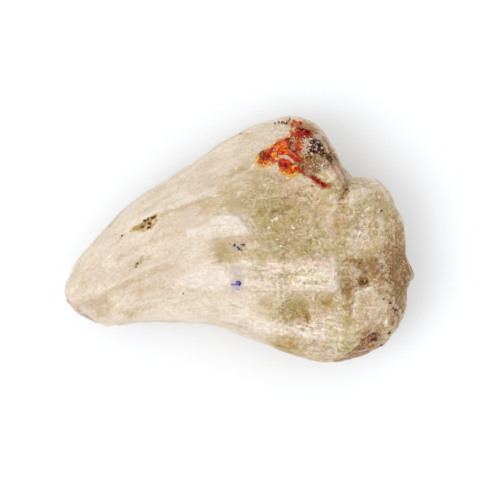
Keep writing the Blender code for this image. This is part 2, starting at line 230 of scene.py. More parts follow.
def insideLoop(x, y, loop):
    # positive inside a closed loop, in millimetres from its edge
    closed = list(loop) + [loop[0]]
    gap = nearPath(x, y, closed)[0]
    within = np.zeros(x.shape, bool)
    for (ax, ay), (bx, by) in zip(closed, closed[1:]):
        if ay != by:
            crosses = ((ay > y) != (by > y)) & (x < (bx - ax) * (y - ay) / (by - ay) + ax)
            within ^= crosses
    return np.where(within, gap, -gap)


def insideBlob(x, y, place, halfSize, turn):
    c, s = math.cos(math.radians(turn)), math.sin(math.radians(turn))
    u = ((x - place[0]) * c + (y - place[1]) * s) / halfSize[0]
    v = (-(x - place[0]) * s + (y - place[1]) * c) / halfSize[1]
    return (1.0 - np.hypot(u, v)) * min(halfSize)


def ragged(blobs, seed=11):
    # every blob gets two smaller ones at its side, so that no speck is round
    rng = random.Random(seed)
    parts = []
    for px, py, radius in blobs:
        parts.append((px, py, 0.85 * radius))
        for _ in range(2):
            turn, away = rng.uniform(0.0, 6.28), radius * rng.uniform(0.6, 1.0)
            size = radius * rng.uniform(0.45, 0.75)
            parts.append((px + away * math.cos(turn), py + away * math.sin(turn), size))
    return parts


def maskOf(entries, x, y, slideX, slideY, grow=0.0):
    # A zone is made of areas, strokes (with a width) and blobs (with radii). Each has its strength,
    # the softness of its edge and how far the fibres pull that edge. The edge has half the strength.
    mask = np.zeros(len(x))
    for form, strength, soft, pull, *rest in entries:
        u, v = x + pull * slideX, y + pull * slideY
        if form == "area":
            depth = insideLoop(u, v, rest[0])
        elif form == "stroke":
            depth = rest[0] / 2 - nearPath(u, v, rest[1])[0]
        else:
            depth = np.max([r - np.hypot(u - px, v - py) for px, py, r in ragged(rest[0])], axis=0)
        mask = np.maximum(mask, strength * np.clip(0.5 + (depth + grow) / (2 * soft), 0.0, 1.0))
    return mask


# helpers for the finishes

def colour(red, green, blue):
    # a tone as it shows under the bright studio light, 0 to 255, becomes the paint that gives it
    channels = [c / 255 for c in (red, green, blue)]
    linear = [c / 12.92 if c <= 0.04045 else ((c + 0.055) / 1.055) ** 2.4 for c in channels]
    return tuple(max(c - studio["veil"], 0.003) / studio["brightness"] for c in linear) + (1.0,)


class NodeBench:
    # a material's nodes, made and wired one call at a time
    def __init__(self, name):
        self.material = bpy.data.materials.new(name)
        self.material.use_nodes = True
        self.nodes = self.material.node_tree.nodes
        self.links = self.material.node_tree.links
        self.shader = self.nodes["Principled BSDF"]

    def feed(self, socket, value):
        if isinstance(value, bpy.types.NodeSocket):
            self.links.new(value, socket)
        else:
            socket.default_value = value

    def node(self, kind, settings, inputs):
        node = self.nodes.new(kind)
        for name, value in settings.items():
            setattr(node, name, value)
        for name, value in inputs.items():
            self.feed(node.inputs[name], value)
        return node

    def attribute(self, name):
        return self.node("ShaderNodeAttribute", {"attribute_name": name}, {})

    def separated(self, colours):
        return self.node("ShaderNodeSeparateColor", {}, {"Color": colours}).outputs[:]

    def masks(self, kinds):
        # the sockets of the masks that storeMasks wrote, by name
        sockets = []
        for group in range(math.ceil(len(kinds) / 4)):
            node = self.attribute("masks%d" % group)
            sockets += [*self.separated(node.outputs["Color"]), node.outputs["Alpha"]]
        return dict(zip(kinds, sockets))

    def maths(self, operation, *values):
        return self.node("ShaderNodeMath", {"operation": operation}, dict(enumerate(values))).outputs[0]

    def times(self, a, b):
        return self.maths("MULTIPLY", a, b)

    def vectors(self, operation, *values):
        made = self.node("ShaderNodeVectorMath", {"operation": operation}, dict(enumerate(values)))
        return made.outputs["Vector"]

    def noise(self, vector, scale, detail, roughness=0.5, distortion=0.0, output="Fac"):
        return self.node("ShaderNodeTexNoise", {}, {
            "Vector": vector, "Scale": scale, "Detail": detail,
            "Roughness": roughness, "Distortion": distortion,
        }).outputs[output]

    def cells(self, vector, scale):
        # three random numbers for each cell
        made = self.node("ShaderNodeTexVoronoi", {"feature": "F1"}, {"Vector": vector, "Scale": scale})
        return self.separated(made.outputs["Color"])

    def ramped(self, value, low, high, start=0.0, end=1.0):
        return self.node("ShaderNodeMapRange", {"interpolation_type": "SMOOTHSTEP"}, {
            "Value": value, "From Min": low, "From Max": high, "To Min": start, "To Max": end,
        }).outputs["Result"]

    def blend(self, share, first, second, way="MIX"):
        # the colour mix has its factor and its two colours at these places
        made = self.node("ShaderNodeMix", {"data_type": "RGBA", "blend_type": way},
                         {0: share, 6: first, 7: second})
        return made.outputs[2]

    def tinted(self, share, tone, tint):
        return self.blend(share, tone, self.blend(1.0, tone, tint, "MULTIPLY"))

    def between(self, value, low, high, first, second):
        # from one tone to another as the value goes from low to high
        return self.blend(self.ramped(value, low, high), first, second)

    def layered(self, tone, layers, masks, rough, tones):
        # lays each zone over the tone below it, its edge broken up by the rough field
        for kind, spread, low, high, most in layers:
            moved = self.maths("MULTIPLY_ADD", rough, spread, masks[kind])
            tone = self.blend(self.times(self.ramped(moved, low, high), most), tone, tones[kind])
        return tone

    def bump(self, height, distance, under=None):
        made = self.node("ShaderNodeBump", {}, {"Strength": 1.0, "Distance": distance * mm, "Height": height})
        if under is not None:
            self.feed(made.inputs["Normal"], under)
        return made.outputs["Normal"]

    def finish(self, tone, roughness, normal, specular):
        self.feed(self.shader.inputs["Base Color"], tone)
        self.feed(self.shader.inputs["Roughness"], roughness)
        self.feed(self.shader.inputs["Normal"], normal)
        self.shader.inputs["Specular IOR Level"].default_value = specular


# The stone: its form first, then its zones and its tones, each above the code that uses it.
ulexite = {
    "tailSlope": 0.62,           # climb of the fibres in the tail, per millimetre along
    "headSlope": -0.10,          # and past the middle, where they level off
    "slopeChangeAt": -7.0,
    "slopeChangeRun": 5.0,
    "fan": 0.012,                # how much they spread with each millimetre towards the head
    "tailEnd": -30.0,
    # the finest that keeps the piece under 200,000 triangles
    "voxel": 0.272,              # the remesh's cell size; the piece comes out just under 200,000 triangles
    "softening": 16,             # smoothing rounds that take the CAD's flat triangles out
    "softenHold": (0.12, 0.38),  # share of each round at the rim, and what the top adds
    "topFibre": (6.0, 0.95, 0.034),   # length, width and height of the ridges on the top
    "fineFibre": (2.6, 0.50, 0.014),
    "flankFibre": (9.0, 1.10, 0.24),  # and on the broken flanks
    "flankLumps": (1.5, 0.14),   # size and height, on the head's flanks
    "lumps": (3.4, 0.13),
    "grain": (0.75, 0.040),
    "headGrain": (0.95, 0.075),  # the head is more granular than the tail
    "headFrom": (-6.0, 9.0),     # where the tail ends and where the head is full
    # broken edges, each drawn with its high side on the left: raise, drop, reach and path
    "ledges": [
        ("upper plate", 0.12, 0.1, 1.0, [(-7.5, -0.6), (-3.3, 0.5), (-0.7, 0.7), (2.1, 0.9), (2.6, 1.9),
            (1.6, 2.9), (1.1, 4.0), (-1.6, 4.2), (-4.0, 4.2)]),
        ("lower plate", 0.1, 0.1, 1.0, [(-0.9, -9.0), (-1.2, -7.5), (-1.5, -6.3), (-1.9, -5.3),
            (-2.7, -4.4), (-4.3, -4.2), (-7.0, -4.7)]),
        ("satin end", 0.15, 0.15, 0.9, [(17.4, -9.8), (17.3, -5.0), (16.6, -1.8)]),
        ("satin top", 0.06, 0.06, 0.8, [(17.0, -4.7), (13.0, -4.5), (8.6, -4.3), (6.0, -3.9), (3.0, -4.1),
            (0.3, -3.4)]),
        ("satin foot", 0.06, 0.06, 0.8, [(0.4, -8.7), (8.0, -8.6), (12.0, -8.8), (17.0, -8.9)]),
        ("angular plate", 0.18, 0.18, 1.0, [(26.4, -11.6), (25.3, -10.0), (24.2, -9.2), (23.8, -7.9),
            (22.5, -8.3), (20.7, -9.0), (20.1, -10.2), (19.8, -14.0)]),
        ("lobe", 0.15, 0.12, 1.0, [(24.8, 8.6), (24.0, 9.7), (21.6, 9.5), (19.9, 9.2), (19.2, 7.4),
            (19.5, 5.2), (19.1, 3.4)]),
        ("white band", 0.12, 0.12, 0.9, [(2.4, -13.2), (6.6, -15.0), (10.2, -15.9), (12.6, -17.3),
            (16.8, -17.2)]),
        ("upper line", 0.12, 0.1, 0.8, [(-15.6, 4.4), (-8.2, 6.5), (-5.6, 7.5), (-2.6, 8.8)]),
        ("tail strand", 0.12, 0.12, 0.9, [(-24.6, -9.6), (-20.4, -7.4), (-15.6, -4.9), (-10.6, -3.4)]),
        ("belly strand", 0.1, 0.1, 0.8, [(-18.0, -11.6), (-12.0, -9.9), (-6.0, -9.4)]),
        ("basin rim", 0.15, 0.15, 0.8, [(1.9, 5.2), (3.6, 7.0), (7.0, 7.6), (11.0, 7.2), (13.4, 5.4)]),
        ("crest line", 0.08, 0.05, 1.4, [(9.0, 18.5), (5.4, 15.9), (2.6, 13.2), (-2.5, 10.2)]),
    ],
    # where the softening rounded the outline off: place, push and reach
    "pulls": [
        ((29.9, -6.1), (0.68, 0.0), 2.1),
        ((-28.2, -12.3), (-0.5, -0.5), 2.4),
        ((16.5, 16.3), (0.4, 0.25), 2.0),
        ((24.9, -18.1), (0.35, -0.35), 2.2),
        ((22.1, -20.0), (0.1, -0.25), 1.5),
        ((8.6, 21.5), (0.0, 0.3), 2.2),
        ((19.5, 11.4), (0.2, 0.35), 1.0),
        ((-12.5, 10.9), (0.18, -0.26), 3.0),
        ((4.9, -18.2), (-0.05, 0.32), 2.0),
        ((12.8, -20.9), (0.0, 0.3), 2.0),
        ((-9.7, -14.4), (0.0, -0.2), 2.5),
        ((29.2, -11.9), (0.3, 0.0), 1.4),
    ],
    # small pits: place, half sizes, turn and depth
    "pits": [
        ((-16.3, 3.1), (1.9, 0.55), 33, 0.35),
        ((-17.2, -3.9), (0.9, 0.35), 30, 0.3),
        ((0.1, -1.2), (1.1, 0.5), -15, 0.25),
        ((21.6, -7.3), (1.1, 0.5), -15, 0.4),
        ((23.4, -16.8), (1.1, 0.7), 35, 0.4),
        ((18.9, -7.9), (0.8, 1.6), 8, 0.3),
        ((8.2, 5.7), (1.2, 0.7), 0, 0.25),
        ((4.2, 5.2), (1.3, 0.8), 40, 0.25),
        ((18.8, 9.2), (0.4, 1.4), 4, 0.35),
        ((26.8, -12.6), (0.5, 1.8), -12, 0.3),
    ],
    # the mouth of the pocket that the crust sits in, and the ring round it that gives its cover's curve
    "pocketLoop": [(3.0, 13.6), (3.6, 14.8), (5.0, 15.9), (6.9, 16.9), (8.5, 17.6), (8.7, 18.8),
        (10.2, 19.4), (12.2, 18.5), (13.8, 17.0), (14.4, 15.5), (13.3, 14.3), (11.5, 14.1), (11.0, 12.8),
        (10.5, 11.3), (9.4, 10.7), (8.1, 11.1), (7.0, 12.2), (6.0, 13.0), (4.5, 12.6), (3.4, 12.7)],
    "pocketAbove": 9.0,
    "bedRing": (-3.5, -0.25),
    "bedAbove": 12.0,
    "bedCentre": (9.0, 15.0),
    "bedSpan": 5.0,
}


def fibreFrame(points):
    # how far along its fibre a point lies, how far across them, and its height
    x, y, z = points.T
    run = ulexite["slopeChangeRun"]
    swing = run * np.logaddexp(0.0, (ulexite["slopeChangeAt"] - x) / run)
    climb = ulexite["headSlope"] * x - (ulexite["tailSlope"] - ulexite["headSlope"]) * swing
    across = (y - climb) / (1.0 + ulexite["fan"] * (x - ulexite["tailEnd"]))
    return np.stack([x, across, z], 1)


def fibreDirection(x):
    run = ulexite["slopeChangeRun"]
    share = 1.0 / (1.0 + np.exp(-(ulexite["slopeChangeAt"] - x) / run))
    slope = ulexite["headSlope"] + (ulexite["tailSlope"] - ulexite["headSlope"]) * share
    size = np.hypot(1.0, slope)
    return 1.0 / size, slope / size


def slid(x, slide, lean):
    # a shift along the fibres and a smaller one across them
    tx, ty = fibreDirection(x)
    return tx * slide - ty * lean, ty * slide + tx * lean


def bedTerms(points):
    u, v = [(points[:, i] - ulexite["bedCentre"][i]) / ulexite["bedSpan"] for i in range(2)]
    return np.stack([u ** a * v ** b for a in range(4) for b in range(4 - a)], 1)


def fitBed(piece):
    # a smooth surface through the stone's top all round the crust
    points, normals = pointsOf(piece), normalsOf(piece)
    depth = insideLoop(points[:, 0], points[:, 1], ulexite["pocketLoop"])
    outer, inner = ulexite["bedRing"]
    ring = (depth < inner) & (depth > outer) & (points[:, 2] > ulexite["bedAbove"]) & (normals[:, 2] > 0.35)
    return np.linalg.lstsq(bedTerms(points[ring]), points[ring, 2], rcond=None)[0]


def closePocket(piece, bed):
    # the pocket's faces go, and its mouth is covered again where the stone's surface would run
    selectOnly(piece)
    bpy.ops.object.mode_set(mode="EDIT")
    form = bmesh.from_edit_mesh(piece.data)
    middles = np.array([face.calc_center_median() for face in form.faces]) / mm
    inner = insideLoop(middles[:, 0], middles[:, 1], ulexite["pocketLoop"]) > -0.04
    for face, inside in zip(form.faces, inner & (middles[:, 2] > ulexite["pocketAbove"])):
        face.select_set(bool(inside))
    bmesh.update_edit_mesh(piece.data)
    bpy.ops.mesh.delete(type="FACE")
    bpy.ops.mesh.select_all(action="DESELECT")
    bpy.ops.mesh.select_non_manifold()
    bpy.ops.mesh.fill(use_beauty=True)
    bpy.ops.mesh.subdivide(number_cuts=3)
    bpy.ops.object.mode_set(mode="OBJECT")
    points = pointsOf(piece)
    inner = insideLoop(points[:, 0], points[:, 1], ulexite["pocketLoop"]) > 0.02
    inner &= points[:, 2] > ulexite["pocketAbove"]
    points[inner, 2] = bedTerms(points[inner]) @ bed
    setPoints(piece, points)


def softened(piece):
    applyModifier(piece, "SUBSURF", levels=1, render_levels=1)
    applyModifier(piece, "REMESH", mode="VOXEL", voxel_size=ulexite["voxel"] * mm)
    points, normals = pointsOf(piece), normalsOf(piece)
    least, more = ulexite["softenHold"]
    hold = least + more * eased(0.2, 0.8, averaged(piece, normals, 4)[:, 2])[:, None]
    for _ in range(ulexite["softening"]):
        points += hold * (averaged(piece, points, 1) - points)
    for place, push, reach in ulexite["pulls"]:
        near = np.exp(-((points[:, 0] - place[0]) ** 2 + (points[:, 1] - place[1]) ** 2) / reach ** 2)
        points[:, :2] += near[:, None] * np.array(push)
    setPoints(piece, points)
    return points


def ridgeHeights(points, grainwise, onTop, head):
    def ridges(name, seed):
        length, width, height = ulexite[name]
        waves = wander(grainwise, (length, width, width * 1.3), seed)
        return height * (1.3 * waves - 0.9 * np.abs(waves) + 0.2)

    def lumps(name, seed):
        size, height = ulexite[name]
        return height * wander(points, size, seed)

    push = onTop * (ridges("topFibre", 1) + ridges("fineFibre", 2))
    push += (1.0 - onTop) * (1.0 - 0.7 * head) * ridges("flankFibre", 3)
    push += (1.0 - onTop) * head * lumps("flankLumps", 10)
    return push + lumps("lumps", 4) + lumps("grain", 5) + head * lumps("headGrain", 6)


def ledgeHeights(points, grainwise):
    # the ledges wander sideways with the fibres, so their edges are ragged
    x, y = seenFromAbove(points)
    slide = 0.75 * wander(grainwise, (4.0, 0.5, 4.0), 7) + 0.20 * wander(points, 0.8, 8)
    slideX, slideY = slid(x, slide, 0.22 * wander(points, 1.1, 9))
    u, v = x + slideX, y + slideY
    lift = np.zeros(len(points))
    for _, rise, drop, reach, path in ulexite["ledges"]:
        gap, side, passed, length = nearPath(u, v, path)
        signed = gap * np.where(side == 0, 1, side)
        ends = eased(-0.2, 1.2, passed) * eased(-0.2, 1.2, length - passed)
        high = rise * np.exp(-np.maximum(signed, 0) / reach)
        low = -drop * np.exp(-np.maximum(-signed, 0) / (0.6 * reach))
        lift += ends * (low + (high - low) * eased(-0.16, 0.16, signed))
    for place, halfSize, turn, depth in ulexite["pits"]:
        lift -= depth * eased(-0.2, 0.5, insideBlob(u, v, place, halfSize, turn))
    return lift


def sculptStone(piece):
    points = softened(piece)
    normals = averaged(piece, normalsOf(piece), 2)
    normals /= np.linalg.norm(normals, axis=1)[:, None]
    grainwise = fibreFrame(points)
    onTop = eased(0.15, 0.75, normals[:, 2])
    head = eased(*ulexite["headFrom"], points[:, 0] - 0.25 * np.abs(points[:, 1]))
    points = points + normals * ridgeHeights(points, grainwise, onTop, head)[:, None]
    points[:, 2] += onTop * ledgeHeights(points, grainwise)
    setPoints(piece, points)
    return head


ulexite["zones"] = {
    "satin": [
        ("area", 0.8, 0.8, 1.0, [(-8.5, 0.2), (-6, 0.6), (-4.5, 0.9), (-1, 1.0), (2.4, 1.1), (3.2, 1.4),
            (2.6, 2.4), (1.7, 3.2), (1.2, 4.2), (-0.5, 4.0), (-1.6, 4.3), (-3.5, 4.3), (-5, 4.0), (-6.5, 3),
            (-9, 1.6)]),
        ("area", 0.86, 0.8, 1.0, [(-7, -4.7), (-4.3, -4.4), (-2.6, -4.4), (-1.8, -5.3), (-1.3, -6.5),
            (-1.2, -9), (-4, -9.2), (-8, -8.5), (-12, -7.6), (-10, -5.8)]),
        ("area", 0.5, 0.7, 1.0, [(1, -3.4), (3, -4.3), (6, -4.0), (9, -4.4), (13, -4.8), (17.2, -4.6),
            (17.3, -8.6), (13, -8.7), (9, -8.5), (4, -8.4), (0.5, -8.8), (0.3, -6.5), (1.0, -5)]),
        ("area", 0.75, 0.8, 1.0, [(5.6, -5.0), (9, -4.6), (17, -4.8), (17, -6), (9, -6.6)]),
        ("area", 1.0, 0.5, 0.7, [(10.2, -5.4), (13.5, -5.2), (17.2, -5.3), (17.3, -8.4), (13, -8.6),
            (10.4, -8.2), (9, -7)]),
        ("area", 0.82, 0.9, 1.0, [(2.5, -12.5), (5, -13.8), (8, -15.0), (12, -14.4), (14.5, -13.2),
            (17.3, -12.8), (17.4, -16.5), (14.5, -17.2), (11, -16.6), (7.5, -16.2), (4, -16.0),
            (2.0, -15)]),
        ("area", 0.55, 1.6, 1.0, [(-12, -1.5), (-7, 0.6), (-4.5, 0.4), (-5.2, -1.8), (-4.8, -4), (-9, -4.6),
            (-14, -6)]),
        ("area", 0.55, 1.6, 1.0, [(-1, -9.6), (5, -9.0), (4, -11.5), (6, -14), (2, -16), (-4, -14.5),
            (-8, -13), (-6, -10)]),
        # most strokes below run along the plates' edges and paint them paler: satin fibre ends, and a painted
        # highlight on each edge
        ("stroke", 0.95, 0.35, 0.5, 0.55, [(-3.6, 4.15), (-1.5, 4.2), (0.2, 4.0), (1.1, 4.15)]),
        ("stroke", 0.85, 0.35, 0.5, 0.5, [(1.2, 4.0), (1.6, 3.0), (2.5, 2.2), (2.4, 1.2)]),
        ("stroke", 0.9, 0.3, 0.4, 0.45, [(-1.0, -3.0), (0.5, -3.5), (3.0, -4.2), (6.0, -4.0),
            (8.8, -4.35)]),
        ("stroke", 0.8, 0.3, 0.4, 0.35, [(9.0, -4.5), (13.0, -4.7), (17.0, -4.5)]),
        ("stroke", 0.85, 0.3, 0.3, 0.4, [(20.3, 9.3), (21.6, 9.6)]),
        ("stroke", 0.85, 0.3, 0.3, 0.4, [(23.0, 9.8), (24.3, 9.9)]),
        ("stroke", 0.7, 0.35, 0.4, 0.45, [(19.5, 9.2), (19.3, 8.0), (19.5, 6.8)]),
        ("stroke", 0.9, 0.3, 0.3, 0.5, [(20.6, -9.0), (22.2, -8.5), (23.4, -8.1)]),
        ("stroke", 0.75, 0.3, 0.3, 0.4, [(20.2, -10.4), (20.0, -12.0), (20.2, -13.6)]),
        ("stroke", 0.7, 0.3, 0.3, 0.35, [(17.9, -14.0), (17.9, -15.6)]),
        ("stroke", 0.95, 0.3, 0.4, 0.4, [(10.5, -15.8), (12.2, -16.4), (14.0, -17.0)]),
        ("stroke", 0.85, 0.3, 0.4, 0.35, [(10.5, -15.9), (11.6, -16.8), (12.8, -17.6)]),
        ("stroke", 0.75, 0.3, 0.4, 0.45, [(13.7, -2.0), (15.5, -3.6)]),
        ("stroke", 0.75, 0.35, 0.3, 0.6, [(17.6, -6.0), (17.7, -10.2)]),
        ("stroke", 0.7, 0.35, 0.5, 0.6, [(13.0, -9.8), (13.1, -13.5)]),
        ("stroke", 0.7, 0.4, 0.6, 0.45, [(22.0, 5.2), (23.6, 6.0)]),
        ("stroke", 0.7, 0.4, 0.6, 0.6, [(20.5, 0.0), (21.0, 1.6), (22.0, 2.5)]),
        ("stroke", 0.7, 0.3, 0.4, 0.35, [(6.8, 19.0), (7.3, 19.5)]),
        ("stroke", 0.65, 0.35, 0.5, 0.4, [(-8.0, 6.8), (-6.5, 7.2)]),
        ("stroke", 0.65, 0.35, 0.5, 0.4, [(-8.2, 4.3), (-7.0, 4.8)]),
        ("stroke", 0.6, 0.35, 0.5, 0.45, [(-17.0, 5.2), (-15.0, 6.8)]),
        ("blobs", 0.85, 0.3, 0.3, [(14.6, 13.0, 0.5), (24.7, 7.5, 0.4), (16.1, 7.6, 0.45), (2.7, 13.2, 0.4),
            (4.6, 9.6, 0.3), (-4.1, 7.9, 0.35), (-0.5, 11.5, 0.3), (-0.3, 12.6, 0.3), (-1.3, 17.3, 0.35),
            (9.4, 2.3, 0.3), (9.3, 1.3, 0.25), (8.7, 0.1, 0.3), (12.5, 0.9, 0.3), (7.4, -1.0, 0.25),
            (5.2, 2.2, 0.3), (25.6, -14.2, 0.45), (25.4, -14.9, 0.3), (16.6, -17.0, 0.4),
            (-23.0, -5.3, 0.3), (-10.5, -3.2, 0.35), (-26.1, -8.5, 0.3), (15.9, 11.0, 0.7),
            (16.3, 10.5, 0.6), (6.3, 3.7, 0.45)]),
    ],
    "olive": [
        ("area", 0.52, 1.3, 1.0, [(-5, 5.6), (-2.5, 7.2), (0.5, 9), (3, 8.6), (5.5, 8), (9, 7.6),
            (11.5, 7.6), (13, 5.6), (14.6, 3.0), (17.5, 3.4), (18.8, 2), (18.4, -1.5), (17.5, -2.8),
            (14.5, -3), (12.5, -3.6), (8.8, -3.6), (4, -3.4), (0.8, -2.8), (-1.5, -3.8), (-3.8, -3.8),
            (-4.8, -1.6), (-3.6, 0.2), (0.5, 0.6), (3.6, 0.8), (3, 2.8), (2, 4.6), (-1.5, 5), (-4, 4.8)]),
        ("area", 0.82, 0.9, 1.0, [(2.3, 3.4), (3.4, 6.2), (6, 6.6), (8, 7), (10, 6.4), (12.2, 4.2), (12, 1),
            (9, 0.5), (6, 1), (4, 1.6)]),
        ("area", 0.85, 0.7, 1.0, [(-4.4, -3.9), (-4.0, -1.8), (-2.2, -0.8), (-0.9, -1.8), (-1.4, -3.2),
            (-2.8, -4.2)]),
        ("area", 0.75, 0.8, 1.0, [(1.2, -1), (4, 0.3), (9, -0.2), (12, -1), (13, -3.2), (8, -3.6),
            (3, -3.5)]),
        ("area", 0.66, 0.8, 0.9, [(7.2, -10.8), (9, -10.2), (11, -10.4), (12.9, -10.6), (12.7, -14.2),
            (10.4, -14.4), (8.4, -13.4), (7.0, -12.2)]),
        ("stroke", 0.66, 0.4, 0.8, 0.6, [(4.6, -10.8), (6.0, -11.3), (7.6, -11.4)]),
        ("area", 0.85, 0.6, 0.8, [(6.4, -16.6), (8.5, -16.4), (10.5, -17), (11.6, -18.4), (11.6, -20.4),
            (8.6, -19.9), (6.0, -18.9)]),
        ("area", 0.8, 0.6, 0.7, [(17.8, -2.6), (20.4, -2.9), (21.6, -4.2), (20.2, -5.0), (18.0, -4.3)]),
        ("area", 0.62, 1.0, 1.0, [(19.6, 4.0), (20.2, 8.6), (23.5, 9.2), (25.6, 8.6), (26.8, 5.4), (27, 2),
            (24.6, 0.6), (22.6, 3.4)]),
        ("area", 0.6, 0.8, 0.8, [(13.6, -9.4), (17.2, -9.4), (17.2, -12.2), (14.0, -12.6)]),
        ("area", 0.95, 0.8, 0.8, [(17.6, -17.0), (20.2, -17.4), (21, -20), (17.6, -21)]),
        ("area", 0.8, 0.8, 0.8, [(17.9, -10.0), (19.8, -10.4), (19.7, -14.6), (18.2, -14.4)]),
        ("area", 0.62, 1.0, 1.0, [(22.4, 3.2), (26.6, 3.4), (26.4, -0.8), (24.0, -3.4), (21.6, -3.0),
            (22.6, 0.4)]),
        ("area", 0.6, 0.8, 1.0, [(13.6, 8.4), (16.4, 9.6), (18.2, 12.0), (17.4, 12.0), (18.8, 8.8),
            (17.6, 5.8), (14.0, 6.2)]),
        ("blobs", 0.78, 0.55, 0.8, [(1.6, 12.0, 0.9), (1.2, 11.2, 0.7), (-2.4, 6.2, 0.9), (-2.6, 8.2, 0.6),
            (-4.2, 9.4, 0.6), (-3.6, 4.9, 0.6), (5.2, 2.9, 0.7), (3.2, 9.2, 0.7), (-18.6, -5.6, 0.5),
            (-16.9, -3.4, 0.9), (-1.5, 5.6, 0.7)]),
        ("stroke", 0.75, 0.45, 0.8, 0.7, [(-18.2, -4.7), (-16.8, -3.7), (-15.4, -2.8)]),
        ("stroke", 0.7, 0.4, 0.8, 0.5, [(-4.6, 4.4), (-2.5, 5.3)]),
        ("stroke", 0.6, 0.5, 0.9, 0.6, [(-22.0, -1.0), (-19.5, 0.9), (-17.6, 2.2)]),
        ("blobs", 0.6, 0.5, 0.8, [(-8.0, -8.6, 0.9), (-9.6, -9.1, 0.4)]),
    ],
    "tan": [
        ("area", 0.8, 1.5, 1.0, [(-8, 6.6), (-3.5, 9.2), (-1.5, 12.0), (1.2, 13.8), (4, 12.5), (7, 11),
            (10.5, 10.6), (12.5, 10), (14.0, 12.6), (18.6, 13.0), (20.0, 10.2), (25.4, 9.9), (27.6, 5.6),
            (29.4, 1.0), (31.5, -6), (29.6, -13), (26, -18.6), (20.8, -21.5), (17.6, -19.6), (17.6, -9),
            (17.8, -3), (12.5, -3.6), (8.8, -3.6), (4, -3.6), (0.8, -3.0), (-1.5, -3.9), (-3.8, -4.0),
            (-5.0, -1.6), (-4.0, 0.4), (0.5, 0.6), (3.6, 0.8), (3, 2.8), (1.6, 4.6), (-3.5, 5),
            (-6.5, 4.6)]),
        ("area", 0.62, 1.4, 1.0, [(4.0, -9.4), (17.4, -9.0), (17.6, -12.6), (12, -14.6), (7, -15),
            (3.6, -12)]),
        ("area", 0.6, 1.2, 1.0, [(5.4, -16.2), (17.4, -17.4), (18.0, -21.6), (11, -21), (5.6, -18.8)]),
        ("area", 0.62, 1.2, 1.0, [(9.6, 20.8), (13.4, 20.6), (16.4, 17.4), (18.6, 12.6), (14.4, 12.2),
            (15.4, 15.4), (12.6, 19.0)]),
        ("area", 0.85, 1.4, 1.0, [(-5.0, 7.4), (-2.6, 10.4), (0.6, 13.0), (3.4, 14.0), (4.6, 11.6),
            (2.6, 7.6), (-2.0, 5.6)]),
        ("area", 0.56, 1.8, 1.0, [(-6.0, 8.4), (-2.0, 12.0), (2.5, 15.5), (3.2, 13.2), (0.6, 10.4),
            (-3.5, 7.6)]),
        ("stroke", 0.66, 0.9, 1.0, 1.0, [(-24.2, -9.8), (-20.4, -8.0), (-16.0, -5.9), (-11.6, -4.6)]),
        ("stroke", 0.6, 0.8, 1.0, 0.8, [(-20.0, -9.4), (-16.0, -8.6), (-12.0, -8.2)]),
        ("stroke", 0.56, 0.8, 1.0, 0.8, [(-25.5, -12.6), (-20.0, -12.4), (-15.0, -11.9)]),
        ("stroke", 0.6, 0.9, 1.0, 1.2, [(-14.5, 4.0), (-10.0, 5.6), (-6.5, 7.0)]),
        ("stroke", 0.58, 0.8, 1.0, 0.8, [(-21.5, -3.6), (-17.5, -1.2), (-13.0, 0.8), (-9.5, 1.6)]),
        ("area", 0.58, 0.8, 0.8, [(-26.5, -10.0), (-22.4, -9.0), (-21.5, -12.6), (-23.6, -13.8),
            (-26.4, -12.0)]),
        ("blobs", 0.62, 0.9, 0.9, [(-19, -13.0, 1.0), (-17.6, -9.0, 1.1), (-10.4, -3.4, 0.8),
            (1.0, -14.0, 1.2), (-12.6, 5.2, 0.7), (4.4, 8.2, 1.6), (-27.0, -7.0, 0.8)]),
    ],
    "umber": [
        ("area", 1.0, 0.6, 0.4, [(9.0, 20.2), (11.0, 20.7), (13.4, 19.9), (15.4, 17.2), (17.4, 14.6),
            (18.0, 12.0), (16.4, 11.6), (14.9, 12.5), (14.4, 11.6), (12.8, 11.4), (11.4, 11.8), (9.8, 13.6),
            (8.4, 14.8), (8.6, 16.4), (9.0, 18.4)]),
        ("area", 0.75, 0.5, 0.4, [(10.2, 12.8), (11.4, 13.4), (13.4, 12.0), (13.8, 10.6), (12.6, 10.4),
            (11.2, 10.9)]),
        ("stroke", 0.85, 0.5, 0.3, 1.5, [(12.4, 11.4), (13.6, 10.4), (15.0, 9.4), (16.2, 9.6)]),
        ("blobs", 0.85, 0.5, 0.4, [(15.2, -11.0, 0.5), (11.8, -13.5, 0.8), (-16.5, 2.2, 0.6),
            (-15.2, 3.6, 0.4), (8.5, 7.4, 0.6), (8.2, 4.9, 0.6), (6.0, 5.1, 0.5), (9.4, 3.5, 0.4),
            (0.5, 18.6, 0.3), (28.9, -6.4, 0.6), (17.6, 7.2, 0.4), (15.4, 9.1, 0.5)]),
        ("area", 0.8, 1.0, 0.5, [(18.2, -7.2), (20.0, -6.8), (21.6, -7.0), (21.2, -8.0), (20.2, -9.2),
            (19.6, -10.4), (18.8, -10.2)]),
        ("area", 0.9, 0.6, 0.5, [(21.6, -15.8), (24.4, -15.6), (24.8, -17.2), (23, -19.0), (19.4, -20.4),
            (18.8, -19.8), (21.0, -18.0)]),
        ("stroke", 0.75, 0.5, 0.4, 1.0, [(27.4, -11.6), (27.4, -13.2), (26.6, -14.6)]),
    ],
    "rust": [
        ("area", 0.8, 0.8, 0.7, [(18.4, -2.6), (21.6, -3.0), (24.4, -2.4), (26, -3.4), (26, -8.0),
            (23.8, -7.0), (22.6, -6.6), (20.0, -6.0), (19.2, -4.6)]),
        ("area", 0.62, 2.2, 1.0, [(23.4, -0.6), (26.0, 1.6), (29.4, 0.6), (31.6, -6), (29.6, -13),
            (26.6, -12.6), (25.4, -9.0), (21.8, -6.4), (22.4, -3.4)]),
        ("area", 0.8, 1.4, 0.8, [(24.8, -2.6), (26.0, -0.6), (28.0, 0.4), (30.4, -1.6), (31.6, -6),
            (30.4, -9), (29.6, -12.6), (28, -15.6), (26.4, -14.6), (26.2, -11.4), (25.4, -9.6),
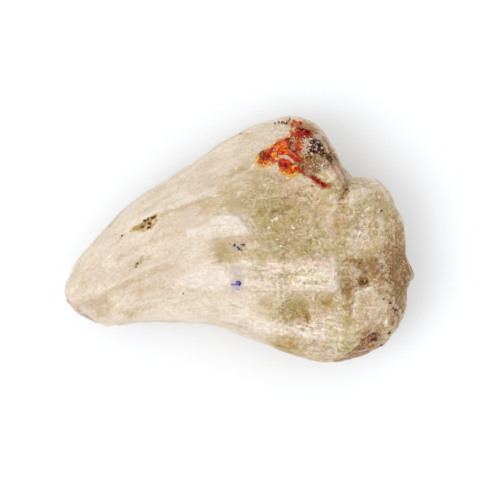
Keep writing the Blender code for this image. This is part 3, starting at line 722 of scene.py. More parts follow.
            (23.6, -7.6), (22.0, -6.4), (24.2, -4.6)]),
        ("area", 0.95, 0.8, 0.6, [(25.6, -3.0), (28.6, -2.6), (31.0, -6), (29.6, -9), (26.6, -8.4),
            (25.0, -6)]),
        ("area", 0.9, 0.6, 0.6, [(20.4, -6.6), (21.6, -6.2), (23.0, -6.6), (22.8, -7.9), (21.2, -8.3)]),
        ("area", 0.85, 0.7, 0.6, [(22.2, -15.4), (24.6, -15.4), (25.2, -17.2), (23, -19.4), (19.4, -20.6),
            (18.4, -20.0), (20.8, -18.2)]),
        ("stroke", 0.85, 0.5, 0.4, 1.0, [(16.8, -21.0), (20.0, -20.4), (23.6, -19.2), (26.0, -17.4)]),
        ("area", 0.62, 0.8, 0.8, [(18.4, 0.4), (19.9, 0.6), (20.0, 4.0), (18.6, 3.6)]),
        ("area", 0.6, 0.8, 0.8, [(18.2, -9.6), (20.2, -10.0), (19.8, -13.4), (18.4, -13.0)]),
        ("area", 0.66, 0.9, 0.8, [(26.2, 7.4), (27.8, 4.6), (29.6, 1.6), (29.4, -1), (27.4, -0.4),
            (26.8, 3.6)]),
        ("area", 0.75, 0.6, 0.6, [(17.0, 13.6), (18.6, 12.6), (19.2, 10.4), (18.6, 8.0), (17.6, 7.6),
            (17.2, 10.6)]),
        ("blobs", 0.75, 0.6, 0.6, [(15.2, -11.0, 0.4), (11.8, -13.6, 0.7), (11.2, -12.6, 0.4),
            (6.0, 5.2, 0.5), (8.6, 7.4, 0.7), (8.2, 5.0, 0.6), (20.7, -4.2, 0.6), (9.2, 3.6, 0.4),
            (0.6, 18.6, 0.35), (-16.4, 2.2, 0.45), (12.4, 0.0, 0.4), (13.4, -10.4, 0.4),
            (28.6, -9.8, 1.0)]),
    ],
    "gold": [
        ("area", 1.0, 0.45, 0.4, [(-18.7, 1.8), (-16.8, 3.3), (-14.3, 4.8), (-13.7, 4.0), (-15.0, 2.0),
            (-16.8, 1.5)]),
        ("stroke", 0.7, 0.4, 0.5, 0.6, [(-20.6, 0.5), (-19.2, 1.4), (-18.2, 2.0)]),
        ("blobs", 0.8, 0.5, 0.5, [(-20.3, 0.8, 0.45), (-17.7, -3.9, 0.45), (-18.8, 1.6, 0.4),
            (1.6, 18.5, 0.6), (2.6, 18.6, 0.4), (-22.4, 2.6, 0.3), (15.2, -10.9, 0.6), (24.8, 5.0, 0.5)]),
        ("area", 0.5, 0.8, 0.8, [(9.4, -10.8), (12.6, -11.0), (12.6, -14.0), (10.4, -14.2), (8.8, -12.8)]),
        ("blobs", 0.6, 0.5, 0.7, [(7.6, -12.9, 0.5), (9.4, -13.8, 0.5), (8.6, -11.6, 0.5),
            (11.0, -11.4, 0.6)]),
        ("area", 0.7, 0.6, 0.7, [(6.8, -17.2), (9.4, -17.0), (10.8, -18.6), (8.8, -19.4), (6.8, -18.6)]),
        ("area", 0.66, 0.7, 0.7, [(2.8, 4.0), (3.8, 6.4), (5.4, 6.2), (4.8, 4.4)]),
        ("area", 0.66, 0.6, 0.7, [(7.4, 5.0), (7.8, 6.6), (9.6, 6.4), (9.4, 4.9)]),
        ("area", 0.62, 0.8, 0.7, [(18.2, -2.8), (20.0, -3.0), (19.8, -4.2), (18.4, -4.0)]),
        ("blobs", 0.7, 0.5, 0.5, [(23.2, -18.2, 0.5), (20.4, -8.0, 0.6), (26.8, -13.6, 0.45),
            (19.2, -19.0, 0.6), (13.2, 14.0, 1.0), (17.3, 13.8, 0.4), (12.6, 13.2, 0.6)]),
    ],
    "grey": [
        ("area", 1.0, 0.9, 1.0, [(19.4, -3.0), (19.2, 0.4), (20.4, 3.4), (21.6, 5.0), (22.8, 4.6),
            (22.9, 0.6), (21.9, -2.6)]),
        ("area", 0.6, 0.9, 1.0, [(20.2, 5.0), (20.2, 8.8), (23.4, 9.2), (24.6, 7.4), (23.4, 5.4)]),
        ("area", 0.62, 0.9, 1.0, [(13.6, 5.2), (15.2, 4.8), (17.2, 2.2), (17.4, -0.8), (15.2, -1.2),
            (14.0, 1.6)]),
        ("area", 0.6, 0.9, 1.0, [(9.0, 9.6), (12.6, 9.6), (13.4, 8.0), (10.0, 8.0)]),
        ("area", 0.8, 0.6, 0.8, [(11.8, -17.2), (14.8, -17.6), (17.2, -17.0), (17.4, -19.6), (14.6, -20.6),
            (12.2, -19.4)]),
        ("area", 0.5, 0.7, 0.6, [(20.4, -9.4), (23.6, -8.6), (25.2, -10.6), (25.6, -13.4), (23.4, -15.2),
            (20.4, -14.2)]),
        ("area", 1.0, 0.6, 0.6, [(-1.5, -4.3), (0.5, -4.4), (1.0, -6.6), (0.4, -8.6), (-0.8, -8.4),
            (-1.2, -6.6)]),
        ("stroke", 0.8, 0.5, 0.7, 0.9, [(0.6, -4.6), (2.6, -5.0), (5.6, -5.2)]),
        ("stroke", 0.75, 0.5, 0.7, 0.7, [(5.0, -8.0), (8.4, -8.3), (11.8, -8.6)]),
        ("stroke", 0.7, 0.5, 0.8, 0.8, [(8.0, -4.0), (12.0, -4.2), (15.0, -4.4)]),
        ("area", 0.62, 0.6, 0.8, [(-1.2, -0.3), (1.0, -0.2), (1.2, -1.4), (0.4, -2.0), (-0.9, -1.6)]),
        ("stroke", 0.66, 0.5, 1.0, 0.6, [(-13.6, 5.2), (-11.8, 5.4)]),
        ("area", 0.6, 0.8, 1.0, [(2.0, -5.4), (8.6, -5.2), (8.8, -7.0), (2.4, -7.6)]),
        ("area", 0.6, 1.0, 1.0, [(14.4, -2.4), (17.4, -2.2), (17.2, -4.2), (15.6, -4.2)]),
    ],
    "pink": [
        ("area", 0.7, 0.5, 0.4, [(-29.4, -10.4), (-26.5, -10.4), (-22.4, -9.4), (-23.6, -12.0),
            (-25.6, -13.2), (-27.4, -12.6)]),
        ("blobs", 0.7, 0.5, 0.4, [(29.0, -6.3, 0.5), (29.5, -5.0, 0.5), (27.3, 4.8, 0.6), (28.4, 1.8, 0.7),
            (29.0, 0.2, 0.5)]),
        ("area", 0.62, 0.9, 0.8, [(14.2, -2.4), (17.4, -2.0), (17.0, -4.4), (15.0, -4.2)]),
        ("stroke", 0.75, 0.35, 0.3, 0.5, [(6.7, 14.6), (8.2, 14.5), (9.4, 13.6), (10.8, 12.4)]),
        ("stroke", 0.7, 0.35, 0.3, 0.4, [(8.8, 15.7), (10.2, 14.6), (11.6, 13.2), (12.8, 12.2)]),
    ],
    "chamfer": [
        ("area", 1.0, 0.35, 0.2, [(-30.6, -10.1), (-29.0, -10.5), (-26.4, -12.7), (-24.6, -14.2),
            (-23.6, -15.0), (-24.4, -16.2), (-29.6, -13.0)]),
    ],
    "dark": [
        ("blobs", 1.0, 0.28, 0.12, [(-16.3, 3.4, 0.27), (-15.8, 3.7, 0.22), (-15.1, 3.9, 0.27),
            (-14.5, 4.2, 0.22), (-15.4, 2.9, 0.3), (-16.6, 2.4, 0.28), (-15.7, 2.3, 0.26),
            (-18.8, 1.5, 0.12), (-20.3, 0.8, 0.2), (-17.6, -3.9, 0.2), (-17.8, -4.6, 0.14),
            (-22.4, 2.6, 0.12), (6.3, 20.4, 0.2), (7.0, 20.5, 0.2), (7.6, 20.6, 0.2), (8.3, 20.3, 0.2),
            (9.0, 21.1, 0.18), (12.8, 9.5, 0.24), (12.5, -0.5, 0.2), (12.4, 0.2, 0.12), (24.8, 5.2, 0.22),
            (18.8, 8.9, 0.2), (26.3, -16.1, 0.25), (25.2, -10.2, 0.2), (26.4, -10.8, 0.24),
            (26.9, -11.8, 0.2), (27.4, -12.0, 0.2), (21.2, -3.9, 0.2), (-9.7, -9.2, 0.14),
            (25.4, -1.0, 0.14), (24.9, -4.0, 0.16), (27.4, -1.2, 0.14), (14.9, 12.9, 0.2),
            (16.0, 15.3, 0.25), (10.1, -12.7, 0.18), (16.8, -13.9, 0.14), (20.9, -18.4, 0.14),
            (24.9, -18.2, 0.2)]),
        ("area", 0.42, 0.6, 0.4, [(22.4, -15.8), (24.2, -15.8), (24.4, -17.6), (23.0, -18.6),
            (22.0, -17.4)]),
        ("blobs", 0.85, 0.35, 0.3, [(23.6, -16.2, 0.35), (24.2, -16.0, 0.2), (23.2, -17.2, 0.4),
            (22.6, -16.4, 0.25), (23.9, -17.4, 0.3), (22.8, -17.8, 0.2), (21.6, -17.9, 0.2),
            (24.4, -16.9, 0.2)]),
        ("blobs", 0.8, 0.35, 0.3, [(21.6, -7.1, 0.3), (22.3, -7.2, 0.3), (21.0, -7.6, 0.22),
            (20.6, -8.4, 0.15)]),
        ("blobs", 0.85, 0.35, 0.3, [(15.0, 14.9, 0.3), (15.5, 14.3, 0.35), (16.2, 13.9, 0.25),
            (15.0, 13.9, 0.25), (15.6, 15.0, 0.2), (16.8, 14.4, 0.15), (15.2, 13.2, 0.2)]),
        ("stroke", 0.62, 0.35, 0.4, 0.5, [(27.0, -11.8), (27.2, -13.0), (26.8, -14.6)]),
        ("stroke", 0.62, 0.3, 0.3, 0.25, [(19.3, 10.4), (18.9, 9.0), (18.7, 7.6)]),
        ("stroke", 0.6, 0.3, 0.3, 0.2, [(6.9, 18.9), (7.2, 19.3)]),
        ("stroke", 0.6, 0.3, 0.3, 0.25, [(-28.9, -10.9), (-26.6, -13.2), (-24.4, -14.9)]),
        ("stroke", 0.62, 0.35, 0.3, 0.4, [(24.0, -17.6), (25.6, -16.4)]),
    ],
    "peppered": [
        ("area", 0.9, 0.8, 0.4, [(10.6, 19.6), (13.0, 19.4), (15.4, 17.2), (17.4, 14.0), (17.4, 12.4),
            (15.2, 12.6), (13.4, 12.4), (11.6, 13.2), (9.4, 15.4), (9.2, 18.0)]),
        ("area", 0.66, 1.8, 0.7, [(24.4, -0.6), (27.6, 0.8), (30.4, -3.4), (30.6, -7.2), (29.6, -12.4),
            (28, -15.4), (25.8, -13.8), (26.0, -10.6), (24.6, -9.0), (24.0, -5.6), (22.8, -3.2)]),
        ("area", 0.75, 0.8, 0.4, [(20.2, -6.2), (22.8, -6.4), (22.6, -8.0), (20.2, -9.0)]),
        ("area", 0.9, 0.7, 0.4, [(21.4, -15.4), (24.8, -15.2), (25.4, -16.8), (23.4, -19.2), (19.4, -20.4),
            (18.6, -19.2)]),
        ("area", 0.55, 0.8, 0.5, [(17.4, 13.2), (19.4, 10.6), (18.8, 4.0), (17.6, 4.4), (17.4, 9.0)]),
        ("area", 0.6, 0.8, 0.5, [(17.8, -2.6), (21.8, -2.8), (22.0, -5.0), (18.4, -4.8)]),
        ("area", 0.5, 0.8, 0.5, [(6.6, -11.6), (9.4, -10.4), (12.6, -11.0), (12.4, -13.8), (9.8, -13.8)]),
        ("area", 0.5, 0.8, 0.5, [(7.0, -16.8), (10.6, -17.2), (11.4, -19.6), (8.0, -19.0)]),
        ("area", 0.6, 0.5, 0.4, [(5.6, 19.6), (7.8, 21.0), (9.4, 21.4), (9.2, 20.2), (7.6, 19.2)]),
        ("area", 0.45, 0.9, 0.6, [(20.8, -9.6), (23.8, -8.8), (25.6, -12.0), (25.0, -15.0), (21.2, -15.0)]),
        ("area", 0.7, 0.6, 0.4, [(-18.2, 1.6), (-14.0, 4.4), (-14.6, 2.6), (-16.6, 1.4)]),
    ],
    "violet": [
        ("blobs", 1.0, 0.25, 0.03, [(-1.35, -0.6, 0.18), (-0.7, -0.85, 0.3), (-0.25, -1.15, 0.2),
            (0.1, -1.45, 0.3), (0.5, -1.7, 0.24), (0.95, -0.75, 0.3), (0.4, -0.7, 0.2)]),
        ("stroke", 1.0, 0.25, 0.03, 0.3, [(-0.35, -7.2), (0.1, -7.1), (0.4, -7.5), (0.1, -7.8)]),
    ],
    "blue": [
        ("stroke", 0.9, 0.3, 0.1, 0.36, [(-1.25, -7.6), (-0.7, -7.7), (0.2, -7.7)]),
        ("stroke", 0.9, 0.3, 0.1, 0.3, [(-0.45, -7.1), (-0.1, -7.4), (0.4, -7.5)]),
        ("stroke", 0.8, 0.3, 0.1, 0.3, [(-0.6, -8.45), (0.1, -8.5)]),
    ],
    "haze": [
        ("area", 0.8, 0.7, 0.3, [(-1.4, -6.9), (0.7, -6.7), (1.0, -8.2), (0.2, -9.0), (-1.0, -8.8)]),
        ("area", 0.55, 0.8, 0.5, [(-1.3, -4.6), (0.4, -4.6), (0.7, -6.8), (-1.0, -6.8)]),
        ("area", 0.5, 0.6, 0.4, [(-1.4, -0.2), (1.2, -0.2), (1.2, -1.4), (0.4, -2.1), (-1.0, -1.6)]),
    ],
    "red": [
        ("blobs", 1.0, 0.25, 0.12, [(12.8, 11.05, 0.3), (13.2, 10.75, 0.36), (13.65, 10.4, 0.32),
            (14.05, 10.1, 0.34), (14.5, 9.8, 0.4), (14.9, 9.6, 0.38), (15.3, 9.45, 0.26),
            (15.7, 9.6, 0.18)]),
        ("stroke", 0.85, 0.3, 0.12, 0.34, [(9.0, 15.3), (9.8, 14.6), (10.6, 13.7), (12.2, 12.4)]),
        ("stroke", 0.92, 0.3, 0.12, 0.46, [(9.8, 12.9), (10.6, 12.2), (11.5, 11.4)]),
        ("stroke", 0.75, 0.3, 0.12, 0.22, [(10.6, 14.6), (11.8, 13.4), (12.8, 12.4), (13.6, 11.2)]),
        ("area", 0.8, 0.4, 0.4, [(9.0, 18.8), (9.2, 19.6), (10.6, 19.9), (11.0, 19.7), (12.4, 19.3),
            (12.6, 18.2)]),
        ("blobs", 0.9, 0.3, 0.2, [(9.3, 20.1, 0.25), (10.6, 20.6, 0.2)]),
        ("blobs", 0.85, 0.4, 0.4, [(3.9, 13.9, 0.6), (9.0, 11.7, 0.5)]),
    ],
    "orange": [
        ("area", 0.8, 0.4, 0.3, [(2.9, 13.4), (3.3, 14.8), (4.8, 16.1), (6.6, 17.3), (8.7, 18.5),
            (9.0, 17.0), (8.0, 15.2), (6.9, 14.8), (6.4, 13.4), (5.2, 12.8), (4.0, 12.4)]),
        ("area", 0.8, 0.4, 0.3, [(6.8, 13.9), (8.6, 13.8), (10.0, 12.4), (9.6, 11.2), (8.2, 11.0),
            (7.0, 12.2)]),
        ("stroke", 0.7, 0.35, 0.2, 0.85, [(12.6, 11.0), (13.6, 10.2), (14.8, 9.5), (15.8, 9.6)]),
        ("blobs", 0.85, 0.35, 0.2, [(9.95, 20.4, 0.55), (9.2, 19.6, 0.35), (10.5, 20.1, 0.4)]),
        ("stroke", 0.85, 0.35, 0.2, 0.36, [(15.2, 9.1), (15.9, 9.2), (16.3, 9.9)]),
        ("stroke", 0.75, 0.35, 0.2, 0.3, [(12.5, 10.8), (13.4, 10.0), (14.4, 9.3)]),
    ],
    "yellow": [
        ("stroke", 0.9, 0.35, 0.3, 0.6, [(3.1, 14.8), (2.9, 13.3), (3.6, 12.5), (4.9, 12.3), (5.6, 12.9)]),
        ("stroke", 0.9, 0.35, 0.3, 0.5, [(7.3, 11.9), (8.2, 10.95), (9.4, 11.0), (10.1, 11.5)]),
        ("stroke", 0.75, 0.35, 0.2, 0.45, [(4.6, 16.0), (6.4, 17.2), (8.6, 18.4)]),
        ("stroke", 0.75, 0.35, 0.2, 0.4, [(15.4, 9.0), (16.3, 9.3), (16.5, 10.0)]),
        ("blobs", 0.8, 0.35, 0.3, [(9.5, 21.0, 0.4), (9.0, 20.2, 0.35), (10.9, 20.6, 0.3),
            (1.9, 18.4, 0.5)]),
    ],
    # pale chips, and painted highlights along the plates' edges
    "chipsAndEdgeHighlights": [
        ("blobs", 1.0, 0.3, 0.2, [(9.9, 20.3, 0.28), (25.6, -14.3, 0.35), (25.4, -14.9, 0.2),
            (24.7, 7.5, 0.25), (14.5, 13.0, 0.3), (15.0, 12.9, 0.25), (16.1, 7.7, 0.25), (16.1, 7.3, 0.2),
            (9.4, 2.3, 0.2), (8.7, 0.1, 0.2), (7.4, -1.0, 0.16), (12.5, 0.9, 0.18), (5.3, 2.2, 0.2),
            (5.8, 3.4, 0.2), (6.6, 4.0, 0.2), (-2.9, -2.4, 0.12)]),
        ("stroke", 0.82, 0.3, 0.3, 0.26, [(20.2, -9.8), (20.7, -9.1), (21.5, -8.9), (22.6, -8.5),
            (23.2, -8.0), (23.9, -7.8)]),
        ("stroke", 0.8, 0.3, 0.2, 0.3, [(24.0, -8.0), (24.3, -9.0), (25.2, -9.8)]),
        ("stroke", 0.75, 0.3, 0.25, 0.24, [(20.3, -10.2), (20.0, -11.6), (20.1, -13.4)]),
        ("stroke", 0.75, 0.3, 0.25, 0.24, [(17.5, -6.2), (17.6, -8.2), (17.5, -10.0)]),
        ("stroke", 0.8, 0.3, 0.25, 0.26, [(10.5, -15.8), (12.2, -16.4), (14.0, -17.0)]),
        ("stroke", 0.75, 0.3, 0.25, 0.22, [(10.6, -16.0), (11.6, -16.8), (12.8, -17.6)]),
        ("stroke", 0.75, 0.3, 0.25, 0.24, [(13.7, -2.1), (14.6, -2.9), (15.5, -3.7)]),
        ("stroke", 0.75, 0.3, 0.25, 0.26, [(22.0, 5.2), (22.8, 5.8), (23.6, 6.0)]),
        ("stroke", 0.72, 0.3, 0.25, 0.3, [(20.6, 0.2), (21.0, 1.4), (21.9, 2.4)]),
        ("stroke", 0.8, 0.3, 0.2, 0.26, [(23.0, 9.9), (24.3, 9.9)]),
        ("stroke", 0.72, 0.3, 0.3, 0.26, [(19.4, 8.9), (19.2, 8.0), (19.4, 6.8)]),
        ("stroke", 0.75, 0.3, 0.3, 0.24, [(1.2, 4.0), (1.7, 3.0), (2.5, 2.2)]),
        ("stroke", 0.72, 0.3, 0.3, 0.24, [(-4.4, -4.3), (-2.6, -4.3), (-1.8, -5.3)]),
        ("stroke", 0.7, 0.3, 0.4, 0.24, [(-8.0, 0.0), (-6.8, 0.6), (-6.0, 1.0)]),
        ("stroke", 0.72, 0.3, 0.4, 0.22, [(17.9, -14.1), (17.9, -15.5)]),
        ("stroke", 0.75, 0.3, 0.4, 0.3, [(-3.4, 4.2), (-0.5, 4.2), (1.0, 4.2)]),
        ("stroke", 0.7, 0.3, 0.4, 0.25, [(0.5, -3.5), (3.0, -4.2), (6.0, -4.0)]),
        ("stroke", 0.7, 0.3, 0.3, 0.25, [(20.3, 9.4), (21.5, 9.6)]),
    ],
}


def addUnderside(masks, points, normals, grainwise, head, below):
    # below the rim the finishes lie in loose patches, and the tail shows satin fibres; its steep flanks are
    # painted paler, part satin fibre and part painted light against their shade
    patch = 0.5 + 0.5 * wander(points, (6.0, 4.5, 6.0), 31)
    end = eased(14.0, 30.0, points[:, 0])
    threads = np.clip(0.2 + wander(grainwise, (14, 2.2, 3), 33), 0, 0.8)
    steepPaintedLight = eased(0.75, 0.15, normals[:, 2])
    loose = {
        "tan": below * np.clip(0.30 + 0.5 * patch * head + 0.2 * end, 0, 1),
        "olive": below * head * np.clip(1.3 * patch - 0.25, 0, 0.8),
        "rust": below * end * np.clip(0.35 + 0.9 * wander(points, 3.2, 32), 0, 1),
        # on the tail's steep flanks half the satin is painted light
        "satin": (1.0 - head) * np.maximum(below * threads, 0.5 * steepPaintedLight),
    }
    for kind, share in loose.items():
        masks[kind] = np.maximum(masks[kind], share)


def paintStone(piece, head):
    points, normals = pointsOf(piece), normalsOf(piece)
    grainwise = fibreFrame(points)
    x, y = seenFromAbove(points)
    slide = 1.1 * wander(grainwise, (5.0, 0.55, 5.0), 21) + 0.5 * wander(grainwise, (2.0, 0.28, 2.0), 22)
    slideX, slideY = slid(x, slide, 0.35 * wander(points, 1.2, 23))
    seen = eased(-0.25, 0.25, normals[:, 2])
    masks = {kind: seen * maskOf(zone, x, y, slideX, slideY) for kind, zone in ulexite["zones"].items()}
    addUnderside(masks, points, normals, grainwise, head, 1.0 - seen)

    # crests are painted paler, a painted highlight, and hollows darker and browner, painted shade
    smoothed = averaged(piece, points, 6)
    broad = averaged(piece, smoothed, 14)
    crest = np.einsum("ij,ij->i", points - smoothed, normals)
    hollow = np.einsum("ij,ij->i", broad - points, normals)
    masks["head"] = head
    masks["crest"] = np.clip(0.5 + crest / 0.12, 0, 1)
    masks["hollow"] = np.clip(0.5 + hollow / 0.5, 0, 1)
    frameRows = piece.data.attributes.new("fibreFrame", "FLOAT_VECTOR", "POINT")
    frameRows.data.foreach_set("vector", grainwise.astype(np.float32).ravel())
    return storeMasks(piece, masks)


ulexite["tones"] = {
    "cream": colour(237, 222, 204),
    "creamShade": colour(228, 211, 191),
    "satin": colour(246, 236, 224),
    "olive": colour(199, 183, 140),
    "oliveDeep": colour(186, 165, 112),
    "tan": colour(203, 179, 140),
    "tanPale": colour(214, 193, 160),
    "rust": colour(166, 127, 70),
    "rustDeep": colour(140, 100, 50),
    "umber": colour(158, 104, 58),
    "umberPale": colour(184, 138, 92),
    "chamfer": colour(192, 166, 142),
    "haze": colour(196, 184, 208),
    "gold": colour(188, 150, 52),
    "grey": colour(216, 199, 181),
    "pink": colour(212, 190, 168),
    "dark": colour(74, 46, 14),
    "violet": colour(42, 28, 50),
    "blue": colour(62, 52, 150),
    "red": colour(150, 34, 14),
    "orange": colour(226, 110, 34),
    "yellow": colour(246, 196, 96),
    # the tone of the pale chips and of the painted highlights on the plates' edges
    "chipsAndEdgeHighlights": colour(255, 252, 246),
    "grainPale": colour(246, 226, 208),
    # these darken or brighten the tone they lie on
    "grainDull": (0.62, 0.60, 0.42, 1.0),
    "silkDull": (0.90, 0.89, 0.86, 1.0),
    "silkPale": (1.06, 1.06, 1.07, 1.0),
    "lineDull": (0.78, 0.76, 0.70, 1.0),
    "linePale": (1.10, 1.10, 1.10, 1.0),
    "cloudRose": (0.975, 0.955, 0.955, 1.0),
    "cloudPale": (1.02, 1.03, 1.02, 1.0),
    "dirt": (0.50, 0.42, 0.26, 1.0),
    "dirtPale": (1.22, 1.20, 1.08, 1.0),
    "speckDull": (0.66, 0.64, 0.50, 1.0),
    "speckPale": (1.22, 1.20, 1.22, 1.0),
    "mosaicOlive": (0.90, 0.90, 0.74, 1.0),
    "mosaicRose": (1.06, 1.01, 1.03, 1.0),
    "dashDull": (0.66, 0.62, 0.48, 1.0),
    # the painted shade that darkens the hollows
    "hollow": (0.78, 0.68, 0.48, 1.0),
}
# a zone's tone goes from the first to the second with a noise field, between two of its values
ulexite["mottles"] = {
    "tan": ("patches", 0.40, 0.60, "tan", "tanPale"),
    "olive": ("blotch", 0.38, 0.62, "oliveDeep", "olive"),
    "rust": ("blotch", 0.40, 0.62, "rustDeep", "rust"),
    "umber": ("blotch", 0.42, 0.60, "umber", "umberPale"),
}
# zones from the lowest up: how far the edge breaks up, where it starts and is full, and the most it covers
ulexite["grounds"] = [
    ("tan", 0.50, 0.15, 0.65, 0.95), ("olive", 1.10, 0.30, 0.85, 0.90), ("pink", 0.40, 0.30, 0.75, 0.75),
    ("rust", 0.60, 0.20, 0.90, 0.90), ("umber", 0.60, 0.30, 0.80, 0.90), ("gold", 1.20, 0.30, 0.85, 0.92),
    ("satin", 1.00, 0.30, 0.95, 0.90), ("grey", 0.60, 0.25, 0.85, 0.85), ("haze", 0.60, 0.15, 0.80, 0.85),
    ("chamfer", 0.30, 0.30, 0.70, 0.80),
]
# the first of the marks paints pale chips and highlights along the plates' edges
ulexite["marks"] = [
    ("chipsAndEdgeHighlights", 0.75, 0.34, 0.70, 0.95), ("yellow", 1.10, 0.38, 0.85, 0.90), ("orange", 0.90, 0.40, 0.80, 0.88),
    ("red", 0.50, 0.42, 0.70, 0.92), ("blue", 0.25, 0.35, 0.75, 0.92), ("violet", 0.25, 0.40, 0.66, 0.92),
    ("dark", 0.35, 0.36, 0.62, 0.92),
]
# noise drawn out with the fibres: how fine along and across, detail, roughness and distortion
ulexite["streaks"] = {
    "longStreak": ((0.09, 0.55, 0.55), 2.0, 0.5, 0.0),
    "streak": ((0.26, 1.9, 1.9), 3.0, 0.6, 0.2),
    "dashes": ((1.1, 4.4, 4.4), 2.0, 0.55, 0.0),
    "lines": ((0.42, 3.4, 3.4), 3.0, 0.65, 0.4),
    "sheaf": ((0.22, 0.5, 0.5), 2.0, 0.5, 0.0),
}
# noise in place: shift in metres, scale, detail, roughness and distortion
ulexite["specks"] = {
    "patches": ((0.0, 0.0, 0.0), 300.0, 3.0, 0.6, 0.4),
    "blotch": ((0.0, 0.0, 0.0), 620.0, 3.0, 0.6, 0.3),
    "grain": ((0.0, 0.0, 0.0), 2600.0, 2.0, 0.6, 0.0),
    "pepper": ((0.031, 0.017, 0.043), 2300.0, 2.0, 0.6, 0.0),
    "cloud": ((0.0, 0.0, 0.0), 210.0, 2.0, 0.5, 0.0),
    "crowd": ((0.07, 0.02, 0.05), 380.0, 4.0, 0.65, 0.0),
    "speck": ((0.011, 0.037, 0.023), 1900.0, 4.0, 0.75, 0.0),
}
ulexite["mosaicScale"] = 560.0
ulexite["mosaicWarp"] = (900.0, 3.0, 1.3)  # scale and detail of the noise that bends the grains, and reach
ulexite["roughness"] = (0.42, 0.72)
ulexite["specular"] = 0.24
ulexite["bumps"] = (0.05, 0.04)            # of the fibres and of the grains
ulexite["subsurface"] = 0.12
ulexite["subsurfaceRadius"] = (1.2, 1.0, 0.75)


def grainTexture(bench, tone, fields, place, head, satin):
    # the head is a mosaic of grown-together grains, some olive and some rose; silk runs over all of it
    tones = ulexite["tones"]
    scale, detail, reach = ulexite["mosaicWarp"]
    bent = bench.vectors("ADD", bench.noise(place, scale, detail, output="Color"), (-0.5, -0.5, -0.5))
    bent = bench.vectors("MULTIPLY_ADD", bent, (reach * mm, reach * mm, reach * mm), place)
    cell = bench.cells(bent, ulexite["mosaicScale"])[0]
    mosaic = bench.between(cell, 0.35, 0.65, tones["mosaicOlive"], tones["mosaicRose"])
    tone = bench.tinted(bench.ramped(head, 0.2, 1.0, 0.10, 0.85), tone, mosaic)
    silk = bench.between(fields["streak"], 0.34, 0.66, tones["silkDull"], tones["silkPale"])
    tone = bench.tinted(bench.ramped(head, 0.0, 0.8, 0.45, 1.0), tone, silk)
    lines = bench.between(fields["lines"], 0.36, 0.62, tones["lineDull"], tones["linePale"])
    share = bench.times(bench.ramped(satin, 0.15, 0.6), bench.ramped(head, 0.3, 1.0, 0.30, 1.0))
    tone = bench.tinted(share, tone, lines)
    cloud = bench.between(fields["cloud"], 0.36, 0.64, tones["cloudRose"], tones["cloudPale"])
    return bench.tinted(1.0, tone, cloud)


def speckTexture(bench, tone, fields, head, peppered):
    # clusters of pale and dull dashes, pale and dark grains, and dirt where the zones ask for it
    tones, ramped, times = ulexite["tones"], bench.ramped, bench.times
    crowd = times(ramped(fields["crowd"], 0.43, 0.60), ramped(head, 0.0, 1.0, 0.30, 1.0))
    sheaf = ramped(ramped(fields["sheaf"], 0.46, 0.60), 0.0, 1.0, 0.10, 0.75)
    paleDash = times(times(ramped(fields["dashes"], 0.57, 0.67), sheaf), ramped(head, 0.1, 0.8, 1.0, 0.35))
    tone = bench.blend(paleDash, tone, tones["satin"])
    dullDash = times(ramped(fields["dashes"], 0.42, 0.34), ramped(crowd, 0.0, 1.0, 0.12, 0.45))
    tone = bench.tinted(dullDash, tone, tones["dashDull"])
    grainShare = times(crowd, 0.75)
    tone = bench.blend(times(ramped(fields["grain"], 0.54, 0.66), grainShare), tone, tones["grainPale"])
    tone = bench.tinted(times(ramped(fields["pepper"], 0.56, 0.68), grainShare), tone, tones["grainDull"])
    speck = bench.between(fields["speck"], 0.38, 0.62, tones["speckDull"], tones["speckPale"])
    amount = bench.maths("MULTIPLY_ADD", crowd, 0.55, ramped(head, 0.0, 1.0, 0.16, 0.55))
    tone = bench.tinted(amount, tone, speck)
    dirty = times(ramped(fields["pepper"], 0.50, 0.60), ramped(peppered, 0.1, 0.9, 0.0, 0.85))
    tone = bench.tinted(dirty, tone, tones["dirt"])
    sunny = times(ramped(fields["pepper"], 0.46, 0.38), ramped(peppered, 0.1, 0.9, 0.0, 0.6))
    return bench.tinted(sunny, tone, tones["dirtPale"])


